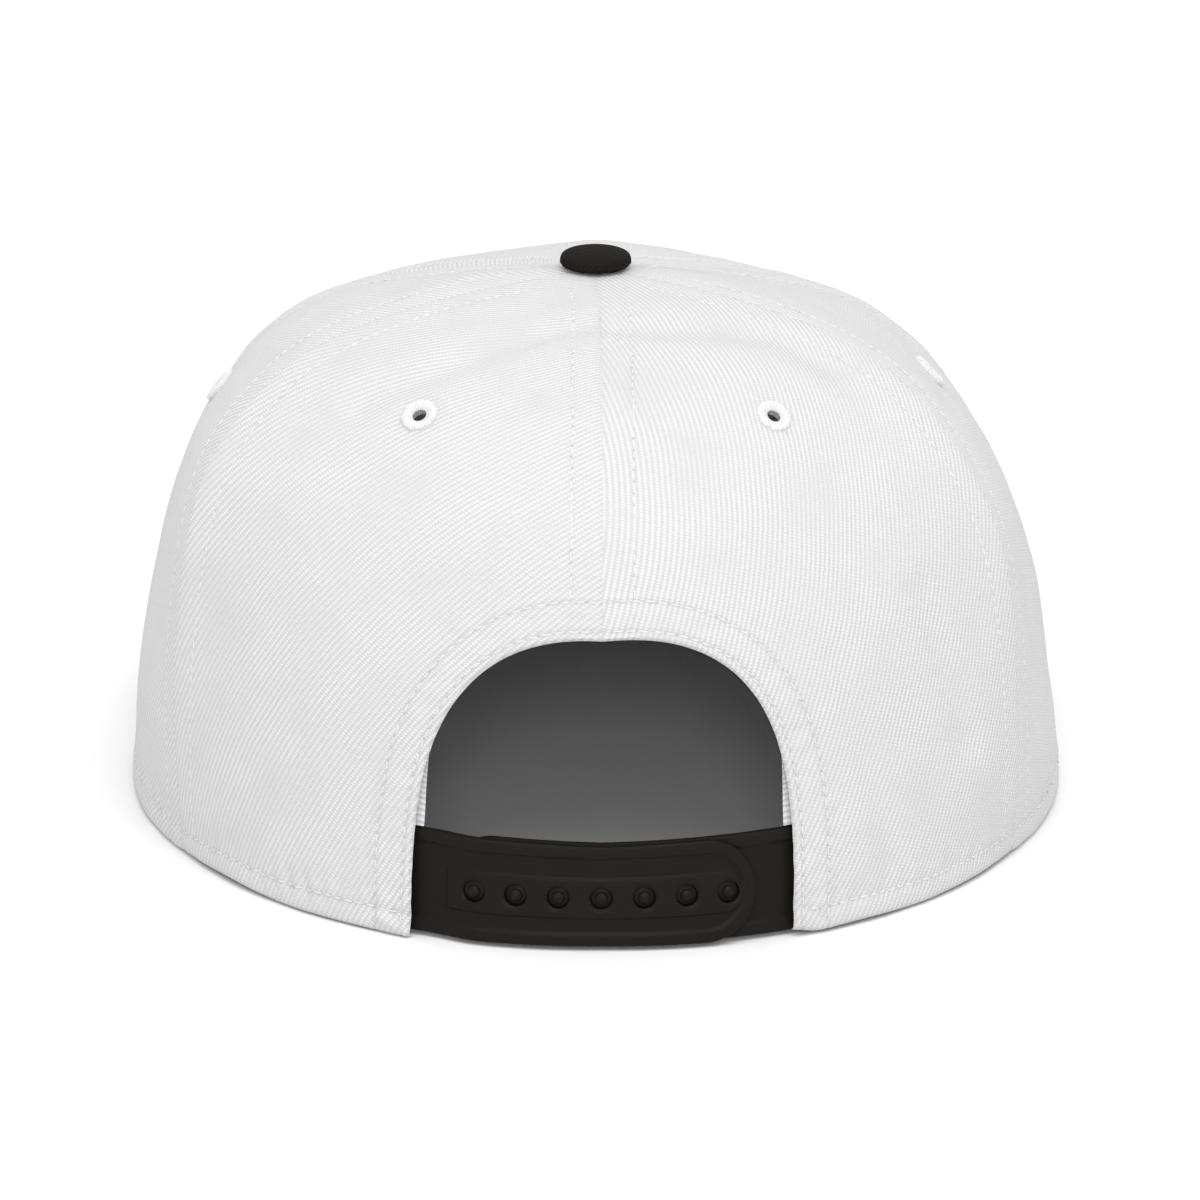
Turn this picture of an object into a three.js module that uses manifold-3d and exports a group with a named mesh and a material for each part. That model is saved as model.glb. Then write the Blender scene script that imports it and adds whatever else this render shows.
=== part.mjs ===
// Six-panel snapback cap: a structured cloth crown with a flat peak, a covered top button,
// stitched eyelets, a sweatband and a two-piece plastic snap strap across the back opening.
// Millimetres, +Z up. The peak points along -Y, the opening along +Y and the wearer's left is +X.
// Azimuths run round the crown from the back seam at 0 towards +X, so the front seam is at 180.
import * as THREE from "three";
import { mergeVertices } from "three/addons/utils/BufferGeometryUtils.js";
import Module from "manifold-3d";

const wasm = await Module();
wasm.setup();

// Clearance between pieces that are sewn or pressed together
const seamGap = 0.3;

// Sides of the small round holes and rings
const roundSides = 12;

// Crown, measured over the cloth
const crownHalfWidth = 87.5;
const crownHalfLength = 97.5;
const crownHeight = 100;
const clothThickness = 1.8;
const crownLean = 2.4;
const seamTwist = -0.7;

// Each row is a level of the crown. Height is a share of the crown's height, the four seams are
// shares of the rim's radius at their azimuths, flat is how far a panel is drawn in to the chord
// between its seams, and lean is a share of the crown's sideways lean.
const crownLevels = [
  { height: 0, back: 1, backSide: 0.987, frontSide: 0.99, front: 1, flat: -0.08, lean: 0 },
  { height: 0.15, back: 1, backSide: 0.998, frontSide: 0.998, front: 1, flat: 0.08, lean: 0.03 },
  { height: 0.3, back: 0.99, backSide: 1, frontSide: 0.99, front: 0.985, flat: 0.21, lean: 0.25 },
  { height: 0.45, back: 0.975, backSide: 0.99, frontSide: 0.97, front: 0.965, flat: 0.34, lean: 0.3 },
  { height: 0.6, back: 0.935, backSide: 0.962, frontSide: 0.922, front: 0.93, flat: 0.46, lean: 0.52 },
  { height: 0.72, back: 0.88, backSide: 0.91, frontSide: 0.845, front: 0.86, flat: 0.53, lean: 1.05 },
  { height: 0.8, back: 0.81, backSide: 0.845, frontSide: 0.754, front: 0.76, flat: 0.54, lean: 1.3 },
  { height: 0.86, back: 0.735, backSide: 0.775, frontSide: 0.658, front: 0.645, flat: 0.5, lean: 1.35 },
  { height: 0.91, back: 0.645, backSide: 0.69, frontSide: 0.525, front: 0.51, flat: 0.45, lean: 1.5 },
  { height: 0.95, back: 0.52, backSide: 0.57, frontSide: 0.36, front: 0.37, flat: 0.38, lean: 1.3 },
  { height: 0.975, back: 0.38, backSide: 0.43, frontSide: 0.225, front: 0.25, flat: 0.3, lean: 1.05 },
  { height: 0.99, back: 0.24, backSide: 0.28, frontSide: 0.125, front: 0.14, flat: 0.2, lean: 0.7 },
  { height: 1, back: 0.02, backSide: 0.02, frontSide: 0.02, front: 0.02, flat: 0, lean: 0.25 },
];
const panelAngle = 60;
const rowsPerLevel = 1.25;
const panelColumns = 8;

// Near the crown's tip, within this share of the rim's radius, the lean is the same all round
const leanBlend = 0.25;

// Levels above the rim over which the panels take up the peak's rise
const peakLiftLevels = 3;

// Back opening: a rounded arch, a little off the back seam, whose crest leans a little further.
// The two powers say how square it is across and upwards.
const archHalfWidth = 34.8;
const archHeight = 57;
const archOffset = -1.4;
const archLean = -0.8;
const archPowerAcross = 2.3;
const archPowerUp = 3.4;
const archSteps = 28;

// Ribbed tape that binds the opening's edge on the inside
const tapeWidth = 10;
const tapeThickness = 0.8;
const tapeShow = 2;
const tapeSetBack = 0.6;
const tapeFade = 0.8;
const tapeAboveStrap = 1;
const tapeGap = 0.5;
const tapeColumns = 24;
const tapeRows = 2;

// Snap strap
const strapHeight = 19;
const strapThickness = 1.2;
const strapLift = 0.8;
const strapSewnIn = 11;
const strapOutset = 1.5;
const strapBend = 11;
const outerReach = 29;
const innerReach = 30;
const strapRim = 2.4;
const strapRelief = 0.35;
const padHeight = 7.4;
const padStart = 5.6;
const padDrop = 0.4;
const snapCount = 7;
const snapPitch = 7.9;
const snapHoleRadius = 2.05;
const pegRadius = 1.3;
const pegDome = 0.4;
const collarHeight = 0.9;
const strapStep = 7;
const tipSteps = 5;
const tipTurn = 82;

// Top button
const buttonRadius = 6.7;
const buttonHeight = 3.3;
const buttonPinRadius = 1.3;
const buttonPinLength = 4;
const buttonSteps = 5;

// Eyelets, one in each panel
const eyeletRadius = 3.4;
const eyeletRelief = 0.8;
const eyeletBore = 1;
const eyeletWall = 0.6;
const eyeletShoulder = 0.8;
const eyeletDish = 0.3;

// Peak
const peakHalfWidth = 85;
const peakReach = 70;
const peakThickness = 3;
const peakRise = 6;
const peakSquareness = 2.9;
const peakStart = 112;
const peakColumns = 28;
const peakRows = 4;

// Sweatband
const bandHeight = 30;
const bandThickness = 1.2;
const bandLift = 1;
const bandGap = 0.6;
const bandRamp = 14;
const bandColumns = 40;

const radians = THREE.MathUtils.degToRad;
const mix = THREE.MathUtils.lerp;
const smooth = THREE.MathUtils.smoothstep;

const makeSolid = (geometry) => {
  const bare = geometry.clone();
  bare.deleteAttribute("normal");
  bare.deleteAttribute("uv");
  const merged = mergeVertices(bare, 1e-4);
  return new wasm.Manifold(
    new wasm.Mesh({
      numProp: 3,
      vertProperties: new Float32Array(merged.attributes.position.array),
      triVerts: new Uint32Array(merged.index.array),
    }),
  );
};

const makeGeometry = (solid) => {
  const mesh = solid.getMesh();
  const geometry = new THREE.BufferGeometry();
  geometry.setAttribute("position", new THREE.BufferAttribute(mesh.vertProperties, 3));
  geometry.setIndex(new THREE.BufferAttribute(mesh.triVerts, 1));
  geometry.computeVertexNormals();
  return geometry;
};

// Closes two facing grids of points, grid[column][row], into one sheet with a thickness
const makeSheet = (outer, inner) => {
  const columns = outer.length;
  const rows = outer[0].length;
  const points = [...outer.flat(), ...inner.flat()];
  const at = (side, column, row) => (side * columns + column) * rows + row;
  const index = [];
  const quad = (a, b, c, d) => index.push(a, b, c, a, c, d);
  for (let i = 0; i < columns - 1; i++)
    for (let j = 0; j < rows - 1; j++) {
      quad(at(0, i, j), at(0, i + 1, j), at(0, i + 1, j + 1), at(0, i, j + 1));
      quad(at(1, i, j), at(1, i, j + 1), at(1, i + 1, j + 1), at(1, i + 1, j));
    }
  for (let i = 0; i < columns - 1; i++) {
    quad(at(0, i, 0), at(1, i, 0), at(1, i + 1, 0), at(0, i + 1, 0));
    quad(at(0, i, rows - 1), at(0, i + 1, rows - 1), at(1, i + 1, rows - 1), at(1, i, rows - 1));
  }
  for (let j = 0; j < rows - 1; j++) {
    quad(at(0, 0, j), at(0, 0, j + 1), at(1, 0, j + 1), at(1, 0, j));
    quad(at(0, columns - 1, j), at(1, columns - 1, j), at(1, columns - 1, j + 1), at(0, columns - 1, j + 1));
  }
  const geometry = new THREE.BufferGeometry().setFromPoints(points);
  geometry.setIndex(index);
  return geometry;
};

// Reads a column of the crown's table at a fractional level
const levelValue = (level, column) => {
  const last = crownLevels.length - 1;
  const base = Math.min(Math.floor(level), last - 1);
  const value = (i) => crownLevels[THREE.MathUtils.clamp(i, 0, last)][column];
  const [a, b, c, d] = [base - 1, base, base + 1, base + 2].map(value);
  const t = level - base;
  return b + 0.5 * t * (c - a + t * (2 * a - 5 * b + 4 * c - d + t * (3 * (b - c) + d - a)));
};

const levelAtHeight = (height) => {
  let low = 0;
  let high = crownLevels.length - 1;
  for (let i = 0; i < 30; i++) {
    const middle = (low + high) / 2;
    if (levelValue(middle, "height") * crownHeight < height) low = middle;
    else high = middle;
  }
  return low;
};

const rimRadius = (azimuth) =>
  1 / Math.hypot(Math.sin(azimuth) / crownHalfWidth, Math.cos(azimuth) / crownHalfLength);

// Underside of the peak above the surface that the cap stands on
const peakUnderside = (x) => peakRise * Math.max(0, 1 - (x / peakHalfWidth) ** 2);

const outerPoint = (degrees, level) => {
  const turn = Math.abs(THREE.MathUtils.euclideanModulo(degrees + 180, 360) - 180);
  const seams = ["back", "backSide", "frontSide", "front"].map((name) => levelValue(level, name));
  const seam = Math.min(Math.floor(turn / panelAngle), 2);
  const share = mix(seams[seam], seams[seam + 1], smooth(turn / panelAngle - seam, 0, 1));
  const fromMiddle = radians(turn - (seam + 0.5) * panelAngle);
  const chord = Math.cos(radians(panelAngle / 2)) / Math.cos(fromMiddle);
  const azimuth = radians(degrees + seamTwist);
  const radius = rimRadius(azimuth) * share * mix(1, chord, levelValue(level, "flat"));
  const x = radius * Math.sin(azimuth);
  const y = radius * Math.cos(azimuth);
  const lift = y < 0 ? peakUnderside(x) * (1 - smooth(level, 0, peakLiftLevels)) : 0;
  const aside = mix(1, Math.sin(azimuth) ** 2, smooth(share, 0, leanBlend));
  const lean = crownLean * levelValue(level, "lean") * aside;
  return new THREE.Vector3(x + lean, y, levelValue(level, "height") * crownHeight + lift);
};

const crownNormal = (degrees, level) => {
  const step = 0.02;
  const top = Math.min(level + step, crownLevels.length - 1);
  const round = outerPoint(degrees + 1, level).sub(outerPoint(degrees - 1, level));
  const up = outerPoint(degrees, top).sub(outerPoint(degrees, top - 2 * step));
  return up.cross(round).normalize();
};

const crownPoint = (degrees, level, inset) =>
  outerPoint(degrees, level).addScaledVector(crownNormal(degrees, level), -inset);

// Places a geometry, whose axis is Y, on a point with its axis along a direction
const placeAlong = (geometry, point, direction) => {
  const turn = new THREE.Quaternion().setFromUnitVectors(THREE.Object3D.DEFAULT_UP, direction);
  geometry.applyQuaternion(turn);
  geometry.translate(point.x, point.y, point.z);
  return geometry;
};

// A punch that cuts a round hole right through a wall
const makePunch = (point, direction, radius, wall) => {
  const round = new THREE.CylinderGeometry(radius, radius, 6 * wall, roundSides);
  return makeSolid(placeAlong(round, point, direction));
};

const makeTurned = (profile, sides, point, direction) => {
  const corners = profile.map(([radius, height]) => new THREE.Vector2(radius, height));
  return placeAlong(new THREE.LatheGeometry(corners, sides), point, direction);
};

// Crown panels in order of azimuth, with the height of each panel's eyelet as a share of the crown's
const panels = [
  { place: "back_left", eyelet: 0.88 },
  { place: "side_left", eyelet: 0.77 },
  { place: "front_left", eyelet: 0.8 },
  { place: "front_right", eyelet: 0.8 },
  { place: "side_right", eyelet: 0.8 },
  { place: "back_right", eyelet: 0.88 },
];

const topLevel = crownLevels.length - 1;
const panelRows = Math.round(topLevel * rowsPerLevel);

const makePanel = (seam) => {
  const outer = [];
  const inner = [];
  for (let i = 0; i <= panelColumns; i++) {
    outer.push([]);
    inner.push([]);
    for (let j = 0; j <= panelRows; j++) {
      const level = (topLevel * j) / panelRows;
      const radius = Math.hypot(outerPoint(seam, level).x, outerPoint(seam, level).y);
      const margin = THREE.MathUtils.radToDeg(seamGap / 2 / radius);
      const azimuth = mix(seam + panelAngle - margin, seam + margin, i / panelColumns);
      const point = outerPoint(azimuth, level);
      const under = crownPoint(azimuth, level, clothThickness);
      if (j === 0) under.z = point.z;
      outer[i].push(point);
      inner[i].push(under);
    }
  }
  return makeSolid(makeSheet(outer, inner));
};

// The opening's outline at an angle from its left foot, over the top, to its right foot
const archPoint = (angle) => {
  const across = Math.sign(Math.cos(angle)) * Math.abs(Math.cos(angle)) ** (2 / archPowerAcross);
  const up = Math.sin(angle) ** (2 / archPowerUp);
  return new THREE.Vector2(archOffset + archHalfWidth * across + archLean * Math.sin(angle), archHeight * up);
};

const makeArchCut = () => {
  const outline = [];
  for (let i = 0; i <= archSteps; i++) outline.push(archPoint((Math.PI * i) / archSteps));
  const foot = -strapHeight;
  outline[0].y = foot;
  outline[archSteps].y = foot;
  const geometry = new THREE.ExtrudeGeometry(new THREE.Shape(outline), {
    depth: crownHalfLength,
    bevelEnabled: false,
  });
  geometry.rotateX(Math.PI / 2);
  geometry.translate(0, 1.5 * crownHalfLength, 0);
  return makeSolid(geometry);
};

const makeEyeletHole = (azimuth, level) => {
  const radius = eyeletBore + eyeletWall + seamGap;
  return makePunch(outerPoint(azimuth, level), crownNormal(azimuth, level), radius, clothThickness);
};

const makeEyelet = (azimuth, level) => {
  const barrel = eyeletBore + eyeletWall;
  const top = seamGap + eyeletRelief;
  const profile = [
    [eyeletBore, -clothThickness],
    [barrel, -clothThickness],
    [barrel, seamGap],
    [eyeletRadius, seamGap],
    [eyeletRadius * eyeletShoulder, top],
    [barrel, top],
    [eyeletBore, seamGap + eyeletRelief * eyeletDish],
    [eyeletBore, -clothThickness],
  ];
  return makeTurned(profile, roundSides, outerPoint(azimuth, level), crownNormal(azimuth, level));
};

const makeButton = () => {
  const profile = [
    [0, -buttonPinLength],
    [buttonPinRadius, -buttonPinLength],
    [buttonPinRadius, seamGap],
  ];
  for (let i = 0; i <= buttonSteps; i++) {
    const angle = (Math.PI / 2) * (i / buttonSteps);
    const radius = i === buttonSteps ? 0 : buttonRadius * Math.cos(angle);
    profile.push([radius, seamGap + (buttonHeight - seamGap) * Math.sin(angle)]);
  }
  const tip = new THREE.Vector3(crownLean * crownLevels[topLevel].lean, 0, crownHeight);
  return makeTurned(profile, 2 * roundSides, tip, new THREE.Vector3(0, 0, 1));
};

const makePeak = () => {
  const top = [];
  const under = [];
  const start = crownPoint(peakStart, 0, -seamGap);
  for (let i = 0; i <= peakColumns; i++) {
    const share = i / peakColumns;
    const seam = crownPoint(mix(peakStart, 360 - peakStart, share), 0, -seamGap);
    const angle = Math.PI * share;
    const across = Math.sign(Math.cos(angle)) * Math.abs(Math.cos(angle)) ** (2 / peakSquareness);
    const forward = Math.abs(Math.sin(angle)) ** (2 / peakSquareness);
    const edge = new THREE.Vector3(peakHalfWidth * across, start.y, 0);
    edge.y -= (crownHalfLength + peakReach + start.y) * forward;
    top.push([]);
    under.push([]);
    for (let j = 0; j <= peakRows; j++) {
      const point = new THREE.Vector3().lerpVectors(seam, edge, j / peakRows);
      point.z = peakUnderside(point.x);
      under[i].push(point.clone());
      point.z += peakThickness;
      top[i].push(point);
    }
  }
  return makeSheet(top, under);
};

const strapInset = clothThickness + seamGap;
const strapMiddle = strapLift + strapHeight / 2;
const strapEnd = archHalfWidth + strapSewnIn;

// The sweatband leaves room for the straps between itself and the crown at the opening's sides
const bandInset = (turn) => {
  const past = THREE.MathUtils.radToDeg((strapEnd + bandGap) / crownHalfLength);
  const room = strapThickness + seamGap;
  return clothThickness + bandGap + room * (1 - smooth(turn, past, past + bandRamp));
};

const makeSweatband = () => {
  const outer = [];
  const inner = [];
  const start = THREE.MathUtils.radToDeg((archHalfWidth - archOffset + tapeShow) / crownHalfLength);
  const levels = [bandLift, bandLift + bandHeight].map(levelAtHeight);
  for (let i = 0; i <= bandColumns; i++) {
    const azimuth = mix(360 - start, start, i / bandColumns);
    const inset = bandInset(Math.min(azimuth, 360 - azimuth));
    outer.push(levels.map((level) => crownPoint(azimuth, level, inset)));
    inner.push(levels.map((level) => crownPoint(azimuth, level, inset + bandThickness)));
  }
  return makeSheet(outer, inner);
};

// Finds the point at an inset inside the back of the crown that lies at a given x and z
const backPoint = (x, z, inset) => {
  let azimuth = THREE.MathUtils.radToDeg(x / crownHalfLength);
  let level = levelAtHeight(z);
  const step = 0.05;
  for (let i = 0; i < 8; i++) {
    const point = crownPoint(azimuth, level, inset);
    const round = crownPoint(azimuth + step, level, inset).sub(point);
    const up = crownPoint(azimuth, level + step, inset).sub(point);
    azimuth += (step * (x - point.x)) / round.x;
    level += (step * (z - point.z)) / up.z;
  }
  return crownPoint(azimuth, level, inset);
};

const makeTape = () => {
  const outer = [];
  const inner = [];
  const foot = strapLift + strapHeight + tapeAboveStrap;
  const first = Math.asin((foot / archHeight) ** (archPowerUp / 2));
  const nudge = 0.01;
  for (let i = 0; i <= tapeColumns; i++) {
    const angle = mix(first, Math.PI - first, i / tapeColumns);
    const edge = archPoint(angle);
    const ahead = archPoint(angle + nudge).sub(archPoint(angle - nudge)).normalize();
    const show = mix(tapeShow, -tapeSetBack, smooth(edge.y, foot, tapeFade * archHeight));
    outer.push([]);
    inner.push([]);
    for (let j = 0; j <= tapeRows; j++) {
      const out = mix(-show, tapeWidth - tapeShow, j / tapeRows);
      const x = edge.x + ahead.y * out;
      const z = Math.max(foot, edge.y - ahead.x * out);
      outer[i].push(backPoint(x, z, clothThickness + tapeGap));
      inner[i].push(backPoint(x, z, clothThickness + tapeGap + tapeThickness));
    }
  }
  return makeSheet(outer, inner);
};

// A place on a strap: a length round the back from the back seam, a height and an inset
const strapPoint = (along, height, inset) => {
  const azimuth = THREE.MathUtils.radToDeg(along / crownHalfLength);
  const point = crownPoint(azimuth, levelAtHeight(height), inset);
  point.z = height;
  return point;
};

// The outer strap passes inside the cloth at the left and bends out over the inner strap
const outerStrapInset = (along) => {
  const edge = archHalfWidth + archOffset;
  return strapInset - strapOutset * (1 - smooth(along, edge - strapBend, edge));
};

const innerStrapInset = (along) => outerStrapInset(along) + strapThickness + seamGap;

// One layer of a strap from its sewn end to its round tip on the other side of the back seam
const makeLayer = ({ side, from, reach, radius, middle, inset, front, back }) => {
  const straight = from + reach - radius;
  const spans = Math.ceil(straight / strapStep);
  const stations = [];
  for (let i = 0; i <= spans; i++) stations.push([(straight * i) / spans, radius]);
  for (let i = 1; i <= tipSteps; i++) {
    const angle = radians((tipTurn * i) / tipSteps);
    stations.push([straight + radius * Math.sin(angle), radius * Math.cos(angle)]);
  }
  if (side < 0) stations.reverse();
  const outer = [];
  const inner = [];
  for (const [distance, half] of stations) {
    const along = side * (from - distance);
    const heights = [middle - half, middle + half];
    outer.push(heights.map((height) => strapPoint(along, height, inset(along) + front)));
    inner.push(heights.map((height) => strapPoint(along, height, inset(along) + back)));
  }
  return makeSolid(makeSheet(outer, inner));
};

// A strap with a raised border, and a raised pad along the row of snaps
const padMiddle = strapMiddle - padDrop;

const makeStrap = (side, reach, inset) => {
  const radius = strapHeight / 2;
  const body = { side, from: strapEnd, reach, radius, middle: strapMiddle, inset };
  body.front = 0;
  body.back = strapThickness;
  const field = { ...body, from: archHalfWidth, reach: reach - strapRim, radius: radius - strapRim };
  field.front = -strapThickness;
  field.back = strapRelief;
  const pad = { ...field, from: archHalfWidth - padStart, radius: padHeight / 2, middle: padMiddle };
  pad.front = 2 * field.front;
  pad.back = 2 * field.back;
  return makeLayer(body).subtract(makeLayer(field).subtract(makeLayer(pad)));
};

const snapPlaces = Array.from({ length: snapCount }, (_, i) => (i - (snapCount - 1) / 2) * snapPitch);

const strapNormal = (along) => {
  const normal = crownNormal(THREE.MathUtils.radToDeg(along / crownHalfLength), levelAtHeight(padMiddle));
  normal.z = 0;
  return normal.normalize();
};

const makeOuterStrap = () => {
  let strap = makeStrap(1, outerReach, outerStrapInset);
  for (const along of snapPlaces) {
    const point = strapPoint(along, padMiddle, outerStrapInset(along));
    strap = strap.subtract(makePunch(point, strapNormal(along), snapHoleRadius, strapThickness));
  }
  return strap;
};

// Each peg has a collar at its foot, a clearance smaller than the hole that it is pressed into
const makeInnerStrap = () => {
  let strap = makeStrap(-1, innerReach, innerStrapInset);
  const length = strapThickness + seamGap;
  const collar = snapHoleRadius - seamGap;
  const profile = [
    [0, -seamGap],
    [collar, -seamGap],
    [collar, collarHeight],
    [pegRadius, collarHeight],
    [pegRadius, length],
    [pegRadius * Math.SQRT1_2, length + pegDome * Math.SQRT1_2],
    [0, length + pegDome],
  ];
  for (const along of snapPlaces) {
    const root = strapPoint(along, padMiddle, innerStrapInset(along));
    strap = strap.add(makeSolid(makeTurned(profile, roundSides, root, strapNormal(along))));
  }
  return strap;
};

const cap = new THREE.Group();

const addPiece = (name, geometry, color, roughness) => {
  const mesh = new THREE.Mesh(geometry, new THREE.MeshStandardMaterial({ color, roughness, metalness: 0 }));
  mesh.name = name;
  cap.add(mesh);
};

const archCut = makeArchCut();
panels.forEach(({ place, eyelet }, i) => {
  const middle = (i + 0.5) * panelAngle;
  const level = levelAtHeight(eyelet * crownHeight);
  const panel = makePanel(i * panelAngle).subtract(makeEyeletHole(middle, level));
  const opened = place.startsWith("back") ? panel.subtract(archCut) : panel;
  addPiece("panel_" + place, makeGeometry(opened), "#f1f1f0", 0.85);
  addPiece("eyelet_" + place, makeEyelet(middle, level), "#f4f4f2", 0.75);
});
addPiece("button", makeButton(), "#17130f", 0.9);
addPiece("peak", makePeak(), "#1b1917", 0.9);
addPiece("sweatband", makeSweatband(), "#1d1c1c", 0.9);
addPiece("arch_tape", makeTape(), "#ecebe8", 0.85);
addPiece("strap_left", makeGeometry(makeOuterStrap()), "#1c1816", 0.45);
addPiece("strap_right", makeGeometry(makeInnerStrap()), "#1c1816", 0.45);

// The origin is under the middle of the whole cap, peak included, on the surface it stands on
const box = new THREE.Box3().setFromObject(cap);
const middle = box.getCenter(new THREE.Vector3());
cap.position.set(-middle.x, -middle.y, -box.min.z);

export default cap;
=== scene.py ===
import math
import bpy
import numpy as np
from mathutils import Matrix, Vector


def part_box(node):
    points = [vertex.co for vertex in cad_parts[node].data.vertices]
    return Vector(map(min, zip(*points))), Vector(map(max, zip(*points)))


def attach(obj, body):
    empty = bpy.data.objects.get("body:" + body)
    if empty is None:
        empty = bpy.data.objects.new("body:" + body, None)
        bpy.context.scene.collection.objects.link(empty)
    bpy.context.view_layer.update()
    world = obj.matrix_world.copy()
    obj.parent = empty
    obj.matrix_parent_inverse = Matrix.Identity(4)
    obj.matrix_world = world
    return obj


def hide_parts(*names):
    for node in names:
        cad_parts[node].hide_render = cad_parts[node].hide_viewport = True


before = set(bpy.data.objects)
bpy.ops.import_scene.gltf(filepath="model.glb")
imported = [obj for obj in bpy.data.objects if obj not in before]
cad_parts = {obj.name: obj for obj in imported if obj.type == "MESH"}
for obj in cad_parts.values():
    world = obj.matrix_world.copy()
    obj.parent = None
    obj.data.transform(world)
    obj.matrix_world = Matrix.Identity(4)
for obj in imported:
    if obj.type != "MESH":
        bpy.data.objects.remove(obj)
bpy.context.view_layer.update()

# Lengths are in millimetres round the middle of the crown, and become metres when a mesh is written
mm = 0.001

cap = {
    "halfWidth": 87.5,
    "halfLength": 97.5,
    "height": 100.0,
    "cloth": 1.8,
    "lean": 2.4,
    "twist": -0.7,
    "panelAngle": 60.0,
    "gap": 0.3,
    "leanBlend": 0.25,
    "peakLiftLevels": 3,
}

peak = {
    "halfWidth": 85.0,
    "reach": 70.0,
    "thickness": 3.0,
    "rise": 6.0,
    "squareness": 2.9,
    "start": 112.0,
    "columns": 220,
    "rows": 70,
    "edge": 1.4,
    "rowSpacing": 7.2,
    "rowStart": 5.16,
    "rowCount": 8,
    "rowDepth": 0.22,
    "rowWidth": 0.6,
    "waves": 0.12,
    "waveSize": 34,
    "edgePuff": (0.16, 2.2, 1.2),
    "least": 0.05,
    "crownClear": 1.035,
    "outwardPull": 1.5,
    "edgePoints": 241,
    "stitchPoints": 900,
}

# Levels of the crown from the rim to the top. The seams are shares of the rim's radius, flat is how
# far a panel is drawn in to the chord between its seams, and lean a share of the sideways lean.
levelColumns = ("height", "back", "backSide", "frontSide", "front", "flat", "lean")
levelTable = np.array([
    [0, 1, 0.987, 0.99, 1, -0.08, 0],
    [0.15, 1, 0.998, 0.998, 1, 0.08, 0.03],
    [0.3, 0.99, 1, 0.99, 0.985, 0.21, 0.25],
    [0.45, 0.975, 0.99, 0.97, 0.965, 0.34, 0.3],
    [0.6, 0.935, 0.962, 0.922, 0.93, 0.46, 0.52],
    [0.72, 0.88, 0.91, 0.845, 0.86, 0.53, 1.05],
    [0.8, 0.81, 0.845, 0.754, 0.76, 0.54, 1.3],
    [0.86, 0.735, 0.775, 0.658, 0.645, 0.5, 1.35],
    [0.91, 0.645, 0.69, 0.525, 0.51, 0.45, 1.5],
    [0.95, 0.52, 0.57, 0.36, 0.37, 0.38, 1.3],
    [0.975, 0.38, 0.43, 0.225, 0.25, 0.3, 1.05],
    [0.99, 0.24, 0.28, 0.125, 0.14, 0.2, 0.7],
    [1, 0.02, 0.02, 0.02, 0.02, 0, 0.25],
])
topLevel = len(levelTable) - 1
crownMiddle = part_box("peak")[0].y / mm + cap["halfLength"] + peak["reach"]


# Small helpers

def ease(value, low, high):
    share = np.clip((value - low) / (high - low), 0, 1)
    return share * share * (3 - 2 * share)


def mixed(a, b, share):
    return a + (b - a) * share


def hump(value, centre, width):
    return np.exp(-(((value - centre) / width) ** 2))


# How far an edge is rounded away at a distance from it
def rounding(distance, radius):
    inside = np.clip(radius - distance, 0, radius)
    return radius - np.sqrt(radius ** 2 - inside ** 2)


# Places at a radius and an angle round an upright line
def roundPlaces(radius, angle, high):
    return np.stack([radius * np.cos(angle), radius * np.sin(angle), high], 1)


# Soft unevenness between about -1 and 1, the same in each run
def ripples(x, y, seed, size):
    chance = np.random.default_rng(seed)
    total = np.zeros(np.shape(x))
    waves = 8
    for _ in range(waves):
        angle = chance.uniform(0, math.pi)
        rate = chance.uniform(0.7, 1.4) * math.tau / size
        phase = chance.uniform(0, math.tau)
        total += np.sin(rate * (x * math.cos(angle) + y * math.sin(angle)) + phase)
    return total / waves ** 0.5


def unit(vectors):
    return vectors / np.linalg.norm(vectors, axis=-1, keepdims=True)


# The crown's surface

def levelValue(level, column):
    values = levelTable[:, levelColumns.index(column)]
    base = np.minimum(np.floor(level).astype(int), topLevel - 1)
    a, b, c, d = (values[np.clip(base + i, 0, topLevel)] for i in (-1, 0, 1, 2))
    t = level - base
    return b + 0.5 * t * (c - a + t * (2 * a - 5 * b + 4 * c - d + t * (3 * (b - c) + d - a)))


fineLevels = np.linspace(0, topLevel, 961)


def levelAtHeight(height):
    return np.interp(height, levelValue(fineLevels, "height") * cap["height"], fineLevels)


def peakUnderside(x):
    return peak["rise"] * np.maximum(0, 1 - (x / peak["halfWidth"]) ** 2)


def crownPoint(degrees, level):
    degrees, level = np.broadcast_arrays(np.asarray(degrees, float), np.asarray(level, float))
    turn = np.abs((degrees + 180) % 360 - 180)
    seams = np.array([levelValue(level, name) for name in ("back", "backSide", "frontSide", "front")])
    seam = np.minimum(np.floor(turn / cap["panelAngle"]).astype(int), 2)
    here = np.take_along_axis(seams, seam[None], 0)[0]
    there = np.take_along_axis(seams, seam[None] + 1, 0)[0]
    share = mixed(here, there, ease(turn / cap["panelAngle"] - seam, 0, 1))
    fromMiddle = np.radians(turn - (seam + 0.5) * cap["panelAngle"])
    chord = math.cos(math.radians(cap["panelAngle"] / 2)) / np.cos(fromMiddle)
    azimuth = np.radians(degrees + cap["twist"])
    rim = 1 / np.hypot(np.sin(azimuth) / cap["halfWidth"], np.cos(azimuth) / cap["halfLength"])
    radius = rim * share * mixed(1, chord, levelValue(level, "flat"))
    x = radius * np.sin(azimuth)
    y = radius * np.cos(azimuth)
    lift = np.where(y < 0, peakUnderside(x) * (1 - ease(level, 0, cap["peakLiftLevels"])), 0)
    aside = mixed(1, np.sin(azimuth) ** 2, ease(share, 0, cap["leanBlend"]))
    lean = cap["lean"] * levelValue(level, "lean") * aside
    return np.stack([x + lean, y, levelValue(level, "height") * cap["height"] + lift], -1)


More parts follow.
